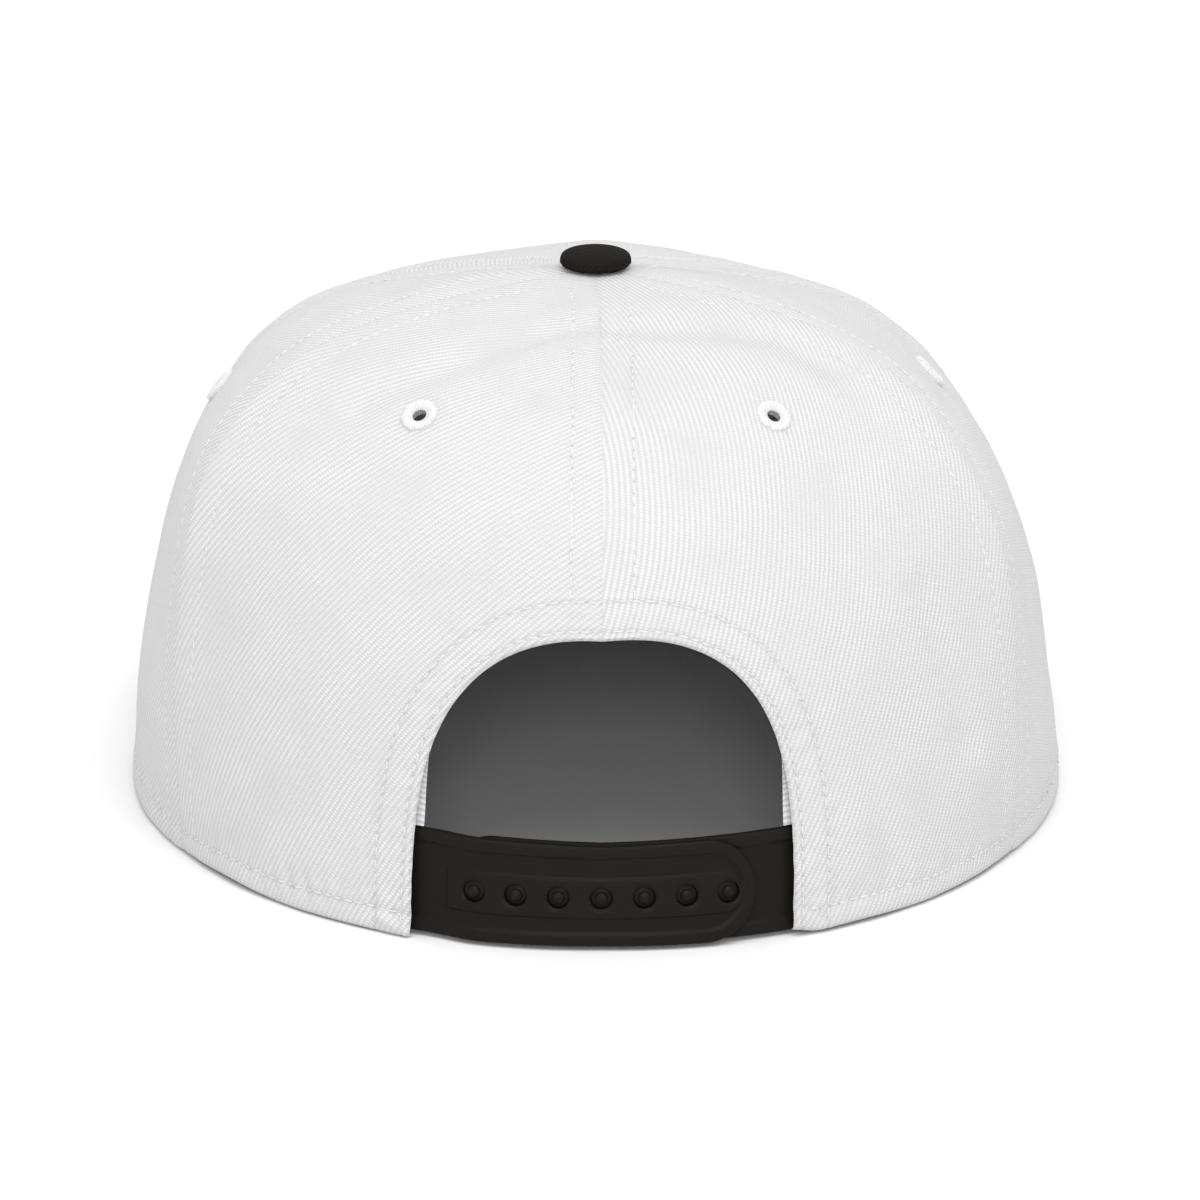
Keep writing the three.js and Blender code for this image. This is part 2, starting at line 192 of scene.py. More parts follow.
def crownNormal(degrees, level):
    step = 0.03
    top = np.clip(level + step, 2 * step, topLevel)
    around = crownPoint(degrees + 0.5, level) - crownPoint(degrees - 0.5, level)
    up = crownPoint(degrees, top) - crownPoint(degrees, top - 2 * step)
    return unit(np.cross(up, around))


# Points at a distance outwards from the crown's surface
def offCrown(degrees, level, distance):
    return crownPoint(degrees, level) + crownNormal(degrees, level) * np.asarray(distance, float)[..., None]


# A panel laid flat: across is measured round the crown from the panel's middle, up from the rim

def makeGore(middle):
    side = np.linspace(0, cap["panelAngle"] / 2, 17)
    rows = crownPoint(middle + side[None], fineLevels[:, None])
    half = np.linalg.norm(np.diff(rows, axis=1), axis=2).sum(1)
    steps = np.linalg.norm(np.diff(crownPoint(middle, fineLevels), axis=0), axis=1)
    return {"middle": middle, "up": np.concatenate([[0], np.cumsum(steps)]), "half": half}


def halfAt(gore, up):
    return np.interp(up, gore["up"], gore["half"])


def goreToCrown(gore, across, up):
    level = np.interp(up, gore["up"], fineLevels)
    share = np.clip(across / halfAt(gore, up), -1, 1)
    return gore["middle"] + share * cap["panelAngle"] / 2, level


def crownToGore(gore, degrees, level):
    up = np.interp(level, fineLevels, gore["up"])
    turn = (degrees - gore["middle"] + 180) % 360 - 180
    return turn / (cap["panelAngle"] / 2) * halfAt(gore, up), up


# The opening's outline, and the place on the crown under a point of it

arch = {
    "halfWidth": 34.8,
    "height": 57.0,
    "offset": -1.4,
    "lean": -0.8,
    "powerAcross": 2.3,
    "powerUp": 3.4,
    "band": 8.2,
    "bandRelief": 0.16,
    "bandEdge": 0.5,
    "rows": (1.6, 7.0),
    "rowDepth": 0.22,
    "rowShade": 0.5,
    "rowShadeWidth": 0.5,
    "ripple": 0.07,
    "rippleSize": 5,
    "rippleFade": 3,
    "overrun": 0.12,
    "points": 360,
}


def archOutline(angle):
    across = np.sign(np.cos(angle)) * np.abs(np.cos(angle)) ** (2 / arch["powerAcross"])
    x = arch["offset"] + arch["halfWidth"] * across + arch["lean"] * np.sin(angle)
    return x, arch["height"] * np.abs(np.sin(angle)) ** (2 / arch["powerUp"])


def backPlace(x, z, inset=0.0):
    degrees = np.degrees(x / cap["halfLength"])
    level = levelAtHeight(z)
    step, rounds = 0.05, 8
    for _ in range(rounds):
        point = offCrown(degrees, level, -inset)
        around = offCrown(degrees + step, level, -inset) - point
        up = offCrown(degrees, level + step, -inset) - point
        degrees = degrees + step * (x - point[..., 0]) / around[..., 0]
        level = np.maximum(level + step * (z - point[..., 2]) / up[..., 2], 0)
    return degrees, level


# Panels in order round the crown: the height of each one's eyelet, and the way its ribs run at the
# rim and near the top, in degrees from straight across

panels = [
    {"name": "back_left", "eyelet": 0.88, "ribs": (116, 138), "seed": 11},
    {"name": "side_left", "eyelet": 0.77, "ribs": (136, 128), "seed": 12},
    {"name": "front_left", "eyelet": 0.8, "ribs": (124, 132), "seed": 13},
    {"name": "front_right", "eyelet": 0.8, "ribs": (128, 120), "seed": 14},
    {"name": "side_right", "eyelet": 0.8, "ribs": (120, 112), "seed": 15},
    {"name": "back_right", "eyelet": 0.88, "ribs": (125, 105), "seed": 16},
]

# Swellings of the cloth are given as height, place and width
cloth = {
    "columns": 112,
    "rows": 124,
    "edge": 0.9,
    "stitchPitch": 2.3,
    "topFade": (3, 16),
    "seamDepth": 0.1,
    "seamWidth": 0.3,
    "seamShade": 0.25,
    "seamPuff": (0.05, 2.6, 2.0),
    "seamPinch": (0.05, 3, 3),
    "seamCalm": 12.0,
    "seamRow": 5.5,
    "rowDepth": 0.12,
    "rowWidth": 0.45,
    "rowShade": 0.3,
    "rowTicks": 0.65,
    "hemRow": 4.5,
    "hemDepth": 0.16,
    "hemWidth": 0.7,
    "hemShade": 0.4,
    "hemTicks": 0.6,
    "hemPuff": (0.14, 2.2, 1.8),
    "hemLift": 0.4,
    "hemLeast": 0.05,
    "hemFade": 14,
    "hemWaves": ((9, 0.14, 0.6), (14, 0.12, 2.1), (23, 0.06, 1.2)),
    "pucker": 0.22,
    "puckerSink": 0.1,
    "puckerPlace": 5.2,
    "puckerWidth": 2.6,
    "puckerSize": 9,
    "puckerSqueeze": (2.2, 0.6),
    "waves": 0.3,
    "waveSize": 46.0,
    "waveStart": (4, 24),
    "smallWaves": 0.05,
    "smallWaveSize": 13,
    "turnBack": 0.75,
    "turnWidth": 4,
    "turnTop": (34, 52),
    "allowance": 0.5,
    "allowanceEnd": (5.8, 6.6),
    "allowanceStart": 0.8,
    "eyeletHole": 1.9,
    "eyeletDent": (0.3, 3.6, 1.1),
}

# Soft folds: the panel, places across and up that the dent runs through, its depth and half width
folds = [
    ("back_left", [(-24, 134), (-12, 129), (-5, 119), (2, 108), (13, 96)], 1.1, 4.2),
    ("back_right", [(24, 134), (12, 129), (0, 126), (-13, 118), (-20, 104)], 1.1, 4.2),
    ("back_right", [(-22, 58), (-26, 41), (-32, 28)], 0.5, 3.5),
    ("back_right", [(2, 50), (-3, 34), (-8, 10)], 0.5, 3.5),
    ("back_left", [(-9, 3), (-16, 0)], -0.5, 1.2),
]

# Which way the back panels run from the opening, and the hem's lift and its width at their feet
backSides = {"back_left": 1, "back_right": -1}
backFeet = {"back_left": (0.1, 6), "back_right": (1.4, 3.5)}
farAway = 1e6

for i, panel in enumerate(panels):
    panel["gore"] = makeGore((i + 0.5) * cap["panelAngle"])
    level = levelAtHeight(panel["eyelet"] * cap["height"])
    panel["eyeletUp"] = float(np.interp(level, fineLevels, panel["gore"]["up"]))


# The opening's edge in a back panel's flat measure, from its foot up to the back seam
def archEdge(panel):
    if "edge" not in panel:
        side = backSides[panel["name"]]
        foot, crest = 0.0 if side > 0 else math.pi, math.pi / 2
        angle = np.linspace(foot, crest - (foot - crest) * arch["overrun"], arch["points"])
        across, up = crownToGore(panel["gore"], *backPlace(*archOutline(angle)))
        limit = -side * halfAt(panel["gore"], up)
        inside = (across - limit) * side > 0
        across, up = across[inside], up[inside]
        last = np.argmax(~inside) if (~inside).any() else len(inside)
        end = np.array([[-side * halfAt(panel["gore"], up[-1]), up[-1]]])
        panel["edge"] = np.concatenate([np.stack([across, up], 1)[:last], end])
    return panel["edge"]


# Distance from flat places to a line of points
def fromLine(line, x, y):
    gap = np.full(np.shape(x), farAway)
    for a, b in zip(line[:-1], line[1:]):
        run = b - a
        share = np.clip(((x - a[0]) * run[0] + (y - a[1]) * run[1]) / (run @ run), 0, 1)
        gap = np.minimum(gap, np.hypot(x - a[0] - share * run[0], y - a[1] - share * run[1]))
    return gap


def fromArch(panel, across, up):
    if panel["name"] not in backSides:
        return np.full(np.shape(across), farAway)
    return fromLine(archEdge(panel)[::2], across, up)


def swelling(value, form):
    height, place, width = form
    return height * hump(value, place, width)


# How a row swings with its stitches, about a mean of low and up to 1
def ticksAlong(run, low):
    return low + (1 - low) * np.cos(math.tau * run / cloth["stitchPitch"])


# How far the cloth's outside stands off the crown's plain surface, and how much painted shade its seam,
# stitch-row, hem and opening-row grooves get
def clothRelief(panel, across, up):
    half = halfAt(panel["gore"], up)
    seam = np.maximum(half - np.abs(across), 0)
    edge = fromArch(panel, across, up)
    nearTop = ease(half, *cloth["topFade"])
    away = ease(seam, 0, cloth["seamCalm"])
    seamLine = hump(seam, 0, cloth["seamWidth"])
    seamRow = hump(seam, cloth["seamRow"], cloth["rowWidth"]) * nearTop * ticksAlong(up, cloth["rowTicks"])
    hemRow = hump(up, cloth["hemRow"], cloth["hemWidth"]) * ticksAlong(across, cloth["hemTicks"])
    relief = -cloth["seamDepth"] * seamLine
    relief += swelling(seam, cloth["seamPuff"]) * nearTop
    relief -= cloth["rowDepth"] * seamRow
    relief += np.sin(math.tau * up / cloth["stitchPitch"]) * swelling(seam, cloth["seamPinch"]) * nearTop
    relief += swelling(up, cloth["hemPuff"]) - cloth["hemDepth"] * hemRow
    squeezeAcross, squeezeUp = cloth["puckerSqueeze"]
    pucker = ripples(across * squeezeAcross, up * squeezeUp, panel["seed"] + 40, cloth["puckerSize"])
    pucker = cloth["pucker"] * pucker * away - cloth["puckerSink"]
    relief += hump(up, cloth["puckerPlace"], cloth["puckerWidth"]) * pucker
    relief -= rounding(up, cloth["edge"])
    # Painted shade along the seams, stitch rows, hem and opening rows, as shares from 0 to 1 that darken
    # the cloth's colour
    grooveShades = [cloth["seamShade"] * seamLine, cloth["rowShade"] * seamRow, cloth["hemShade"] * hemRow]
    if panel["name"] in backSides:
        low, high = arch["band"] - arch["bandEdge"], arch["band"] + arch["bandEdge"]
        relief += arch["bandRelief"] * (1 - ease(edge, low, high))
        for row in arch["rows"]:
            relief -= arch["rowDepth"] * hump(edge, row, cloth["rowWidth"])
            grooveShades.append(arch["rowShade"] * hump(edge, row, arch["rowShadeWidth"]))
        onBand = 1 - ease(edge, arch["band"], arch["band"] + arch["rippleFade"])
        relief += arch["ripple"] * onBand * ripples(across, up, panel["seed"] + 20, arch["rippleSize"])
        relief -= rounding(edge, cloth["edge"])
    relief -= swelling(np.hypot(across, up - panel["eyeletUp"]), cloth["eyeletDent"])
    waves = cloth["waves"] * ripples(across, up, panel["seed"], cloth["waveSize"])
    small = cloth["smallWaves"] * ripples(across, up, panel["seed"] + 60, cloth["smallWaveSize"])
    relief += (waves * ease(up, *cloth["waveStart"]) + small) * nearTop * away
    for name, line, depth, width in folds:
        if name == panel["name"]:
            relief -= depth * hump(fromLine(np.array(line, float), across, up), 0, width)
    return relief, np.maximum.reduce(grooveShades)


# The hem stands a little off the floor, in waves that run on round the crown
def hemLift(panel, across, up):
    around = np.radians(goreToCrown(panel["gore"], across, up)[0])
    wave = cloth["hemLift"]
    for count, high, start in cloth["hemWaves"]:
        wave = wave + high * np.sin(count * around + start)
    if panel["name"] in backFeet:
        lift, width = backFeet[panel["name"]]
        wave = mixed(wave, lift, hump(across, archEdge(panel)[0, 0], width))
    return np.maximum(wave, cloth["hemLeast"]) * (1 - ease(up, 0, cloth["hemFade"]))


def clothOutside(panel, across, up):
    relief = clothRelief(panel, across, up)[0]
    points = offCrown(*goreToCrown(panel["gore"], across, up), relief)
    points[..., 2] += hemLift(panel, across, up)
    return points


# The inside is drawn back from the opening's upright edges, which show their outside alone
def clothInside(panel, across, up):
    seam = np.maximum(halfAt(panel["gore"], up) - np.abs(across), 0)
    edge = fromArch(panel, across, up)
    back = cloth["turnBack"] * (1 - ease(edge, 0, cloth["turnWidth"])) * (1 - ease(up, *cloth["turnTop"]))
    place = goreToCrown(panel["gore"], across + backSides.get(panel["name"], 0) * back, up)
    doubled = (1 - ease(seam, *cloth["allowanceEnd"])) * ease(seam, 0, cloth["allowanceStart"])
    inset = cap["cloth"] + cloth["allowance"] * doubled
    inset = inset - rounding(up, cloth["edge"]) - rounding(edge, cloth["edge"])
    points = offCrown(*place, -np.maximum(inset, cap["cloth"] - cloth["edge"]))
    points[..., 2] = np.maximum(points[..., 2] + hemLift(panel, across, up), cloth["hemLeast"])
    return points


# Meshes

def deselect():
    if bpy.context.object and bpy.context.object.mode != "OBJECT":
        bpy.ops.object.mode_set(mode="OBJECT")
    bpy.ops.object.select_all(action="DESELECT")


def choose(obj):
    deselect()
    obj.select_set(True)
    bpy.context.view_layer.objects.active = obj


def applyModifier(obj, kind, **settings):
    choose(obj)
    modifier = obj.modifiers.new(kind.lower(), kind)
    for name, value in settings.items():
        setattr(modifier, name, value)
    bpy.ops.object.modifier_apply(modifier=modifier.name)


# Runs one edit operation on the whole mesh
def editWhole(obj, operation, **settings):
    choose(obj)
    bpy.ops.object.mode_set(mode="EDIT")
    bpy.ops.mesh.select_all(action="SELECT")
    operation(**settings)
    bpy.ops.object.mode_set(mode="OBJECT")


def pointsOf(obj):
    points = np.empty(len(obj.data.vertices) * 3)
    obj.data.vertices.foreach_get("co", points)
    return points.reshape(-1, 3)


def setPoints(obj, points):
    obj.data.vertices.foreach_set("co", np.asarray(points, float).ravel())
    obj.data.update()


# Crown measure in millimetres to the frame's metres
def inFrame(points):
    return (np.asarray(points, float) + [0, crownMiddle, 0]) * mm


def storeVector(obj, name, values):
    layer = obj.data.attributes.get(name) or obj.data.attributes.new(name, "FLOAT_VECTOR", "POINT")
    layer.data.foreach_set("vector", np.asarray(values, float).ravel())


def readVector(obj, name):
    values = np.empty(len(obj.data.vertices) * 3)
    obj.data.attributes[name].data.foreach_get("vector", values)
    return values.reshape(-1, 3)


def storeShare(obj, name, values):
    layer = obj.data.attributes.new(name, "FLOAT", "POINT")
    layer.data.foreach_set("value", np.asarray(values, float).ravel())


def storeUv(obj, flat):
    corners = np.empty(len(obj.data.loops), int)
    obj.data.loops.foreach_get("vertex_index", corners)
    layer = obj.data.uv_layers.get("UVMap") or obj.data.uv_layers.new(name="UVMap")
    layer.data.foreach_set("uv", (flat[corners, :2] * mm).ravel())


def finishPiece(obj, slotName, *nodes, angle=50):
    choose(obj)
    bpy.ops.object.shade_smooth_by_angle(angle=math.radians(angle))
    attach(obj, "root")
    if nodes:
        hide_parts(*nodes)
    return obj


# A sheet with a thickness. lay gives flat places for a grid's two shares, outside and inside
# give points for flat places, and hole is a round cut in the flat measure.
def makeSheetPiece(name, columns, rows, lay, outside, inside, outwards, materials, hole=None):
    deselect()
    bpy.ops.mesh.primitive_grid_add(x_subdivisions=columns, y_subdivisions=rows, size=1)
    obj = bpy.context.object
    obj.name = name
    shares = pointsOf(obj) + 0.5
    flat = lay(shares[:, 0], shares[:, 1])
    for material in materials:
        obj.data.materials.append(material)
    storeVector(obj, "flat", flat)
    setPoints(obj, inFrame(outside(flat)))
    if hole:
        cutHole(obj, outside, *hole)
    flat = readVector(obj, "flat")
    some = list(obj.data.polygons)[:: len(obj.data.polygons) // 40]
    facing = np.array([face.normal for face in some])
    if (facing * outwards(flat[[face.vertices[0] for face in some]])).sum() < 0:
        editWhole(obj, bpy.ops.mesh.flip_normals)
    applyModifier(obj, "SOLIDIFY", thickness=mm, offset=-1, material_offset=1)
    flat = readVector(obj, "flat")
    count = len(flat) // 2
    setPoints(obj, inFrame(np.concatenate([outside(flat[:count]), inside(flat[count:])])))
    storeUv(obj, flat)
    return obj, flat


def cutHole(obj, outside, centre, radius):
    flat = readVector(obj, "flat")
    gap = np.hypot(flat[:, 0] - centre[0], flat[:, 1] - centre[1])
    bpy.ops.object.mode_set(mode="EDIT")
    bpy.ops.mesh.select_mode(type="VERT")
    bpy.ops.mesh.select_all(action="DESELECT")
    bpy.ops.object.mode_set(mode="OBJECT")
    obj.data.vertices.foreach_set("select", gap < radius)
    bpy.ops.object.mode_set(mode="EDIT")
    bpy.ops.mesh.delete(type="VERT")
    bpy.ops.mesh.select_non_manifold()
    bpy.ops.object.mode_set(mode="OBJECT")
    flat = readVector(obj, "flat")
    picked = np.empty(len(flat), bool)
    obj.data.vertices.foreach_get("select", picked)
    off = flat[:, :2] - centre
    gap = np.hypot(off[:, 0], off[:, 1])
    rim = picked & (gap < 3 * radius)
    flat[rim, :2] = centre + off[rim] * (radius / gap[rim])[:, None]
    storeVector(obj, "flat", flat)
    setPoints(obj, inFrame(outside(flat)))


# Materials

class Value:
    def __init__(self, shader, socket):
        self.shader = shader
        self.socket = socket

    def maths(self, operation, *others):
        return self.shader.add("ShaderNodeMath", {"operation": operation}, dict(enumerate((self, *others))))

    def __add__(self, other):
        return self.maths("ADD", other)

    def __sub__(self, other):
        return self.maths("SUBTRACT", other)

    def __rsub__(self, other):
        return self.shader.add("ShaderNodeMath", {"operation": "SUBTRACT"}, {0: other, 1: self})

    def __mul__(self, other):
        return self.maths("MULTIPLY", other)

    def __truediv__(self, other):
        return self.maths("DIVIDE", other)

    __radd__ = __add__
    __rmul__ = __mul__


class Shader:
    def __init__(self, name, roughness, sheen=0.0, gloss=0.3):
        self.material = bpy.data.materials.new(name)
        self.material.use_nodes = True
        self.tree = self.material.node_tree
        self.surface = self.tree.nodes["Principled BSDF"]
        self.surface.inputs["Roughness"].default_value = roughness
        self.surface.inputs["Sheen Weight"].default_value = sheen
        self.surface.inputs["Specular IOR Level"].default_value = gloss

    # Adds a node: its settings first, then the values or links of its sockets
    def add(self, kind, settings=None, inputs=None, output=0):
        node = self.tree.nodes.new(kind)
        for name, value in (settings or {}).items():
            setattr(node, name, value)
        for name, value in (inputs or {}).items():
            if isinstance(value, Value):
                self.tree.links.new(value.socket, node.inputs[name])
            else:
                node.inputs[name].default_value = value
        return Value(self, node.outputs[output])

    def colour(self, share, low, high):
        inputs = {0: share, 6: low, 7: high}
        return self.add("ShaderNodeMix", {"data_type": "RGBA"}, inputs, 2)

    def noise(self, place, scale, detail=2.0):
        inputs = {"Vector": place, "Scale": scale, "Detail": detail}
        return self.add("ShaderNodeTexNoise", None, inputs)

    def flatPlace(self):
        place = self.add("ShaderNodeUVMap", {"uv_map": "UVMap"})
        parts = self.add("ShaderNodeSeparateXYZ", None, {0: place})
        return place, parts * (1 / mm), Value(self, parts.socket.node.outputs[1]) * (1 / mm)

    def objectPlace(self):
        return self.add("ShaderNodeTexCoord", None, None, "Object")

    def share(self, name):
        return self.add("ShaderNodeAttribute", {"attribute_name": name}, None, "Fac")

    def raised(self, height, depth, under=None):
        inputs = {"Height": height, "Distance": depth * mm}
        if under:
            inputs["Normal"] = under
        return self.add("ShaderNodeBump", None, inputs)

    def feed(self, **links):
        for name, value in links.items():
            self.tree.links.new(value.socket, self.surface.inputs[name.replace("_", " ")])
        return self.material


def grey(value, warmth=0.0):
    return (value * (1 + warmth), value, value * (1 - warmth), 1)


# Ribbed serge: ropes of small beads, whose direction turns between the rim and the top of a panel
serge = {
    "pitch": 1.02,
    "beadPitch": 0.6,
    "beadSlant": 1.4,
    "beadDepth": 0.6,
    "turnHeight": 92.0,
    "drift": 1.3,
    "driftScale": 45.0,
    "patchScale": 70.0,
    "patchGain": 1.5,
    "patchLoss": 0.15,
    "patchLeast": 0.25,
    "fuzz": 0.3,
    "fuzzScale": 2400.0,
    "tone": 0.85,
    "grooveShadeShare": 0.3,
    "grooveShadeTone": 0.62,
    "roughness": 0.86,
}


def makeSerge(name, ribs, grooveShade, crest, depth, sheen=0.0, warmth=0.0, gloss=0.12):
    shader = Shader(name, serge["roughness"], sheen, gloss)
    place, across, up = shader.flatPlace()
    drift = shader.noise(place, serge["driftScale"], 1.0) - 0.5
    rim, top = (math.radians(angle) for angle in ribs)
    sideTurn = (math.sin(top) - math.sin(rim)) / serge["turnHeight"]
    riseTurn = (math.cos(rim) - math.cos(top)) / serge["turnHeight"] / 2
    beside = across * (up * sideTurn + math.sin(rim))
    beside = beside + up * (up * riseTurn - math.cos(rim)) + drift * serge["drift"]
    middle = math.radians(sum(ribs) / 2)
    length = across * math.cos(middle) + up * math.sin(middle) + drift
    rib = (beside * (math.tau / serge["pitch"])).maths("COSINE") * 0.5 + 0.5
    beads = length * (math.tau / serge["beadPitch"]) + beside * serge["beadSlant"]
    beads = beads.maths("COSINE") * 0.5 + 0.5
    patches = shader.noise(place, serge["patchScale"], 2.0) * serge["patchGain"] - serge["patchLoss"]
    fuzz = shader.noise(place, serge["fuzzScale"], 3.0) * serge["fuzz"]
    weave = rib * (beads * serge["beadDepth"] + (1 - serge["beadDepth"]))
    weave = weave * patches.maths("MAXIMUM", serge["patchLeast"])
    tone = (weave * serge["tone"] + fuzz).maths("MINIMUM", 1.0)
    # The colour is darker in the rib grooves and between the beads than on the crests, which is painted
    # shade of the weave, with random fuzz on top
    base = shader.colour(tone, grey(grooveShade, warmth), grey(crest, warmth))
    # Seams and stitch rows are darkened by their stored share: painted shade in their grooves
    dark = grey(grooveShade * serge["grooveShadeTone"], warmth)
    base = shader.colour(shader.share("grooveShade") * serge["grooveShadeShare"], base, dark)
    return shader.feed(Base_Color=base, Normal=shader.raised(weave + fuzz, depth))


# Cloth with fine ribs one way, for the inside, the sweatband and the tape
twill = {"fuzzScale": 1800.0, "ribTone": 0.7, "fuzzTone": 0.3, "fuzz": 0.6, "sheen": 0.05}


def makeTwill(name, grooveShade, crest, pitch=0.6, depth=0.08, slant=60.0, roughness=0.9):
    shader = Shader(name, roughness, twill["sheen"])
    place, across, up = shader.flatPlace()
    angle = math.radians(slant)
    beside = across * math.sin(angle) - up * math.cos(angle)
    ribs = (beside * (math.tau / pitch)).maths("COSINE") * 0.5 + 0.5
    fuzz = shader.noise(place, twill["fuzzScale"])
    # The colour is darker in the rib grooves than on the crests, which is painted shade of the ribs, with
    # random fuzz on top
    base = shader.colour(ribs * twill["ribTone"] + fuzz * twill["fuzzTone"], grey(grooveShade), grey(crest))
    return shader.feed(Base_Color=base, Normal=shader.raised(ribs + fuzz * twill["fuzz"], depth))


threadLook = {"roughness": 0.7, "sheen": 0.15, "fuzzScale": 2200.0, "depth": 0.06}


def makeThread(name, low, high, warmth=0.0):
    shader = Shader(name, threadLook["roughness"], threadLook["sheen"])
    fuzz = shader.noise(shader.objectPlace(), threadLook["fuzzScale"], 3.0)
    base = shader.colour(fuzz, grey(low, warmth), grey(high, warmth))
    return shader.feed(Base_Color=base, Normal=shader.raised(fuzz, threadLook["depth"]))


plasticLook = {
    "plainRoughness": 0.42,
    "roughness": 0.36,
    "cloudRoughness": 0.12,
    "grainRoughness": 0.08,
    "gloss": 0.1,
    "tones": (0.005, 0.008),
    "warmth": 0.2,
    "cloudScale": 90.0,
    "grainScale": 3200.0,
    "depth": 0.012,
}


def makePlastic(name):
    shader = Shader(name, plasticLook["plainRoughness"], 0.0, plasticLook["gloss"])
    place = shader.objectPlace()
    cloud = shader.noise(place, plasticLook["cloudScale"], 3.0)
    grain = shader.noise(place, plasticLook["grainScale"], 2.0)
    base = shader.colour(cloud, *(grey(tone, plasticLook["warmth"]) for tone in plasticLook["tones"]))
    roughness = cloud * plasticLook["cloudRoughness"] + grain * plasticLook["grainRoughness"]
    bump = shader.raised(grain, plasticLook["depth"])
    return shader.feed(Base_Color=base, Roughness=roughness + plasticLook["roughness"], Normal=bump)


crownInside = makeTwill("crown_inside", grooveShade=0.56, crest=0.68)
print("materials for the crown made")


# Crown panels

def spread(share, pull):
    return share - pull * np.sin(math.tau * share) / math.tau


# How far the rows of a grid are drawn down to the rim, and its columns to the seams or the opening
gridPull = {"rows": 0.7, "columns": 0.5, "backColumns": 0.5, "backRows": 0.35}


def layPanel(panel, u, v):
    gore = panel["gore"]
    up = gore["up"][-1] * (v * (1 - gridPull["rows"]) + gridPull["rows"] * v * v)
    across = halfAt(gore, up) * (2 * spread(u, gridPull["columns"]) - 1)
    return np.stack([across, up, 0 * up], -1)


# A run of points at even shares of a line's length
def along(line, share):
    steps = np.linalg.norm(np.diff(line, axis=0), axis=1)
    length = np.concatenate([[0], np.cumsum(steps)])
    wanted = share * length[-1]
    return np.stack([np.interp(wanted, length, line[:, i]) for i in (0, 1)], -1)


# A back panel is stretched between the rim, the side seam, the back seam and the opening's edge
def layBackPanel(panel, u, v):
    gore = panel["gore"]
    side = backSides[panel["name"]]
    edge = archEdge(panel)
    ups = np.linspace(0, gore["up"][-1], 300)
    sideSeam = np.stack([side * halfAt(gore, ups), ups], 1)
    ups = np.linspace(edge[-1, 1], gore["up"][-1], 300)
    backSeam = np.stack([-side * halfAt(gore, ups), ups], 1)
    backSeam[-1] = sideSeam[-1]
    rim = np.array([edge[0] * [1, 0], sideSeam[0]])
    edge = np.concatenate([edge[:1] * [1, 0], edge[1:]])
    u = mixed(u, u * u, gridPull["backColumns"])
    v = mixed(v, v * v, gridPull["backRows"])
    low, high = along(rim, u), along(backSeam, u)
    near, far = along(edge, v), along(sideSeam, v)
    u, v = u[:, None], v[:, None]
    corners = (1 - v) * mixed(rim[0], rim[1], u) + v * mixed(backSeam[0], backSeam[-1], u)
    places = mixed(low, high, v) + mixed(near, far, u) - corners
    return np.concatenate([places, 0 * u], 1)


def makePanel(panel):
    lay = layBackPanel if panel["name"] in backSides else layPanel
    outer = makeSerge(
        "serge_" + panel["name"], panel["ribs"], grooveShade=0.42, crest=0.73, depth=0.22, sheen=0.12)
    obj, flat = makeSheetPiece(
        "cloth_" + panel["name"], cloth["columns"], cloth["rows"],
        lambda u, v: lay(panel, u, v),
        lambda flat: clothOutside(panel, flat[:, 0], flat[:, 1]),
        lambda flat: clothInside(panel, flat[:, 0], flat[:, 1]),
        lambda flat: crownNormal(*goreToCrown(panel["gore"], flat[:, 0], flat[:, 1])),
        [outer, crownInside],
        hole=(np.array([0, panel["eyeletUp"]]), cloth["eyeletHole"]),
    )
    # The grooves' painted shade is kept on the cloth for its colour to be darkened by
    storeShare(obj, "grooveShade", clothRelief(panel, flat[:, 0], flat[:, 1])[1])
    return finishPiece(obj, "crown_cloth", "panel_" + panel["name"])


for panel in panels:
    makePanel(panel)
print("crown panels sewn")


# Stitches are one small bead of thread, copied along each row

stitch = {"length": 1.75, "width": 0.36, "height": 0.28, "sides": 6, "rings": 5, "rise": 0.03}
# Grey beads in the gaps between stitches paint the shade in the needle holes
holeShadeBead = {"length": 0.5, "width": 0.42, "height": 0.18, "sides": 6, "rings": 4, "rise": 0.0}

# How unevenly the stitches lie, and how far their rows stay from ends and seams
rowing = {
    "wander": 0.08,
    "slip": 0.06,
    "points": 200,
    "topClear": 11,
    "endClear": 0.6,
    "footClear": 1.0,
    "seamClear": 0.2,
}


def makeBead(size):
    deselect()
    bpy.ops.mesh.primitive_uv_sphere_add(segments=size["sides"], ring_count=size["rings"], radius=0.5)
    bead = bpy.context.object
    points = pointsOf(bead)
    faces = [list(face.vertices) for face in bead.data.polygons]
    bpy.data.objects.remove(bead)
    points = points[:, [2, 0, 1]] * [size["length"], size["width"], size["height"]]
    return points, faces


# Each stitch lies between two points of the cloth, with the cloth's normal there
def makeStitches(name, runs, material, slotName, size):
    shape, faces = makeBead(size)
    allPoints, allFaces = [], []
    for start, end, normal in runs:
        start, end, normal = (np.asarray(part).reshape(-1, 3) for part in (start, end, normal))
        ahead = unit(end - start)
        aside = unit(np.cross(normal, ahead))
        out = np.cross(ahead, aside)
        middle = (start + end) / 2
        for i in range(len(middle)):
            turn = np.stack([ahead[i], aside[i], out[i]])
            base = len(allPoints) * len(shape)
            allPoints.append(middle[i] + out[i] * size["rise"] + shape @ turn)
            allFaces += [[base + k for k in face] for face in faces]
    mesh = bpy.data.meshes.new(name)
    mesh.from_pydata(inFrame(np.concatenate(allPoints)).tolist(), [], allFaces)
    mesh.materials.append(material)
    obj = bpy.data.objects.new(name, mesh)
    bpy.context.collection.objects.link(obj)
    editWhole(obj, bpy.ops.mesh.normals_make_consistent, inside=False)
    return finishPiece(obj, slotName, angle=80)


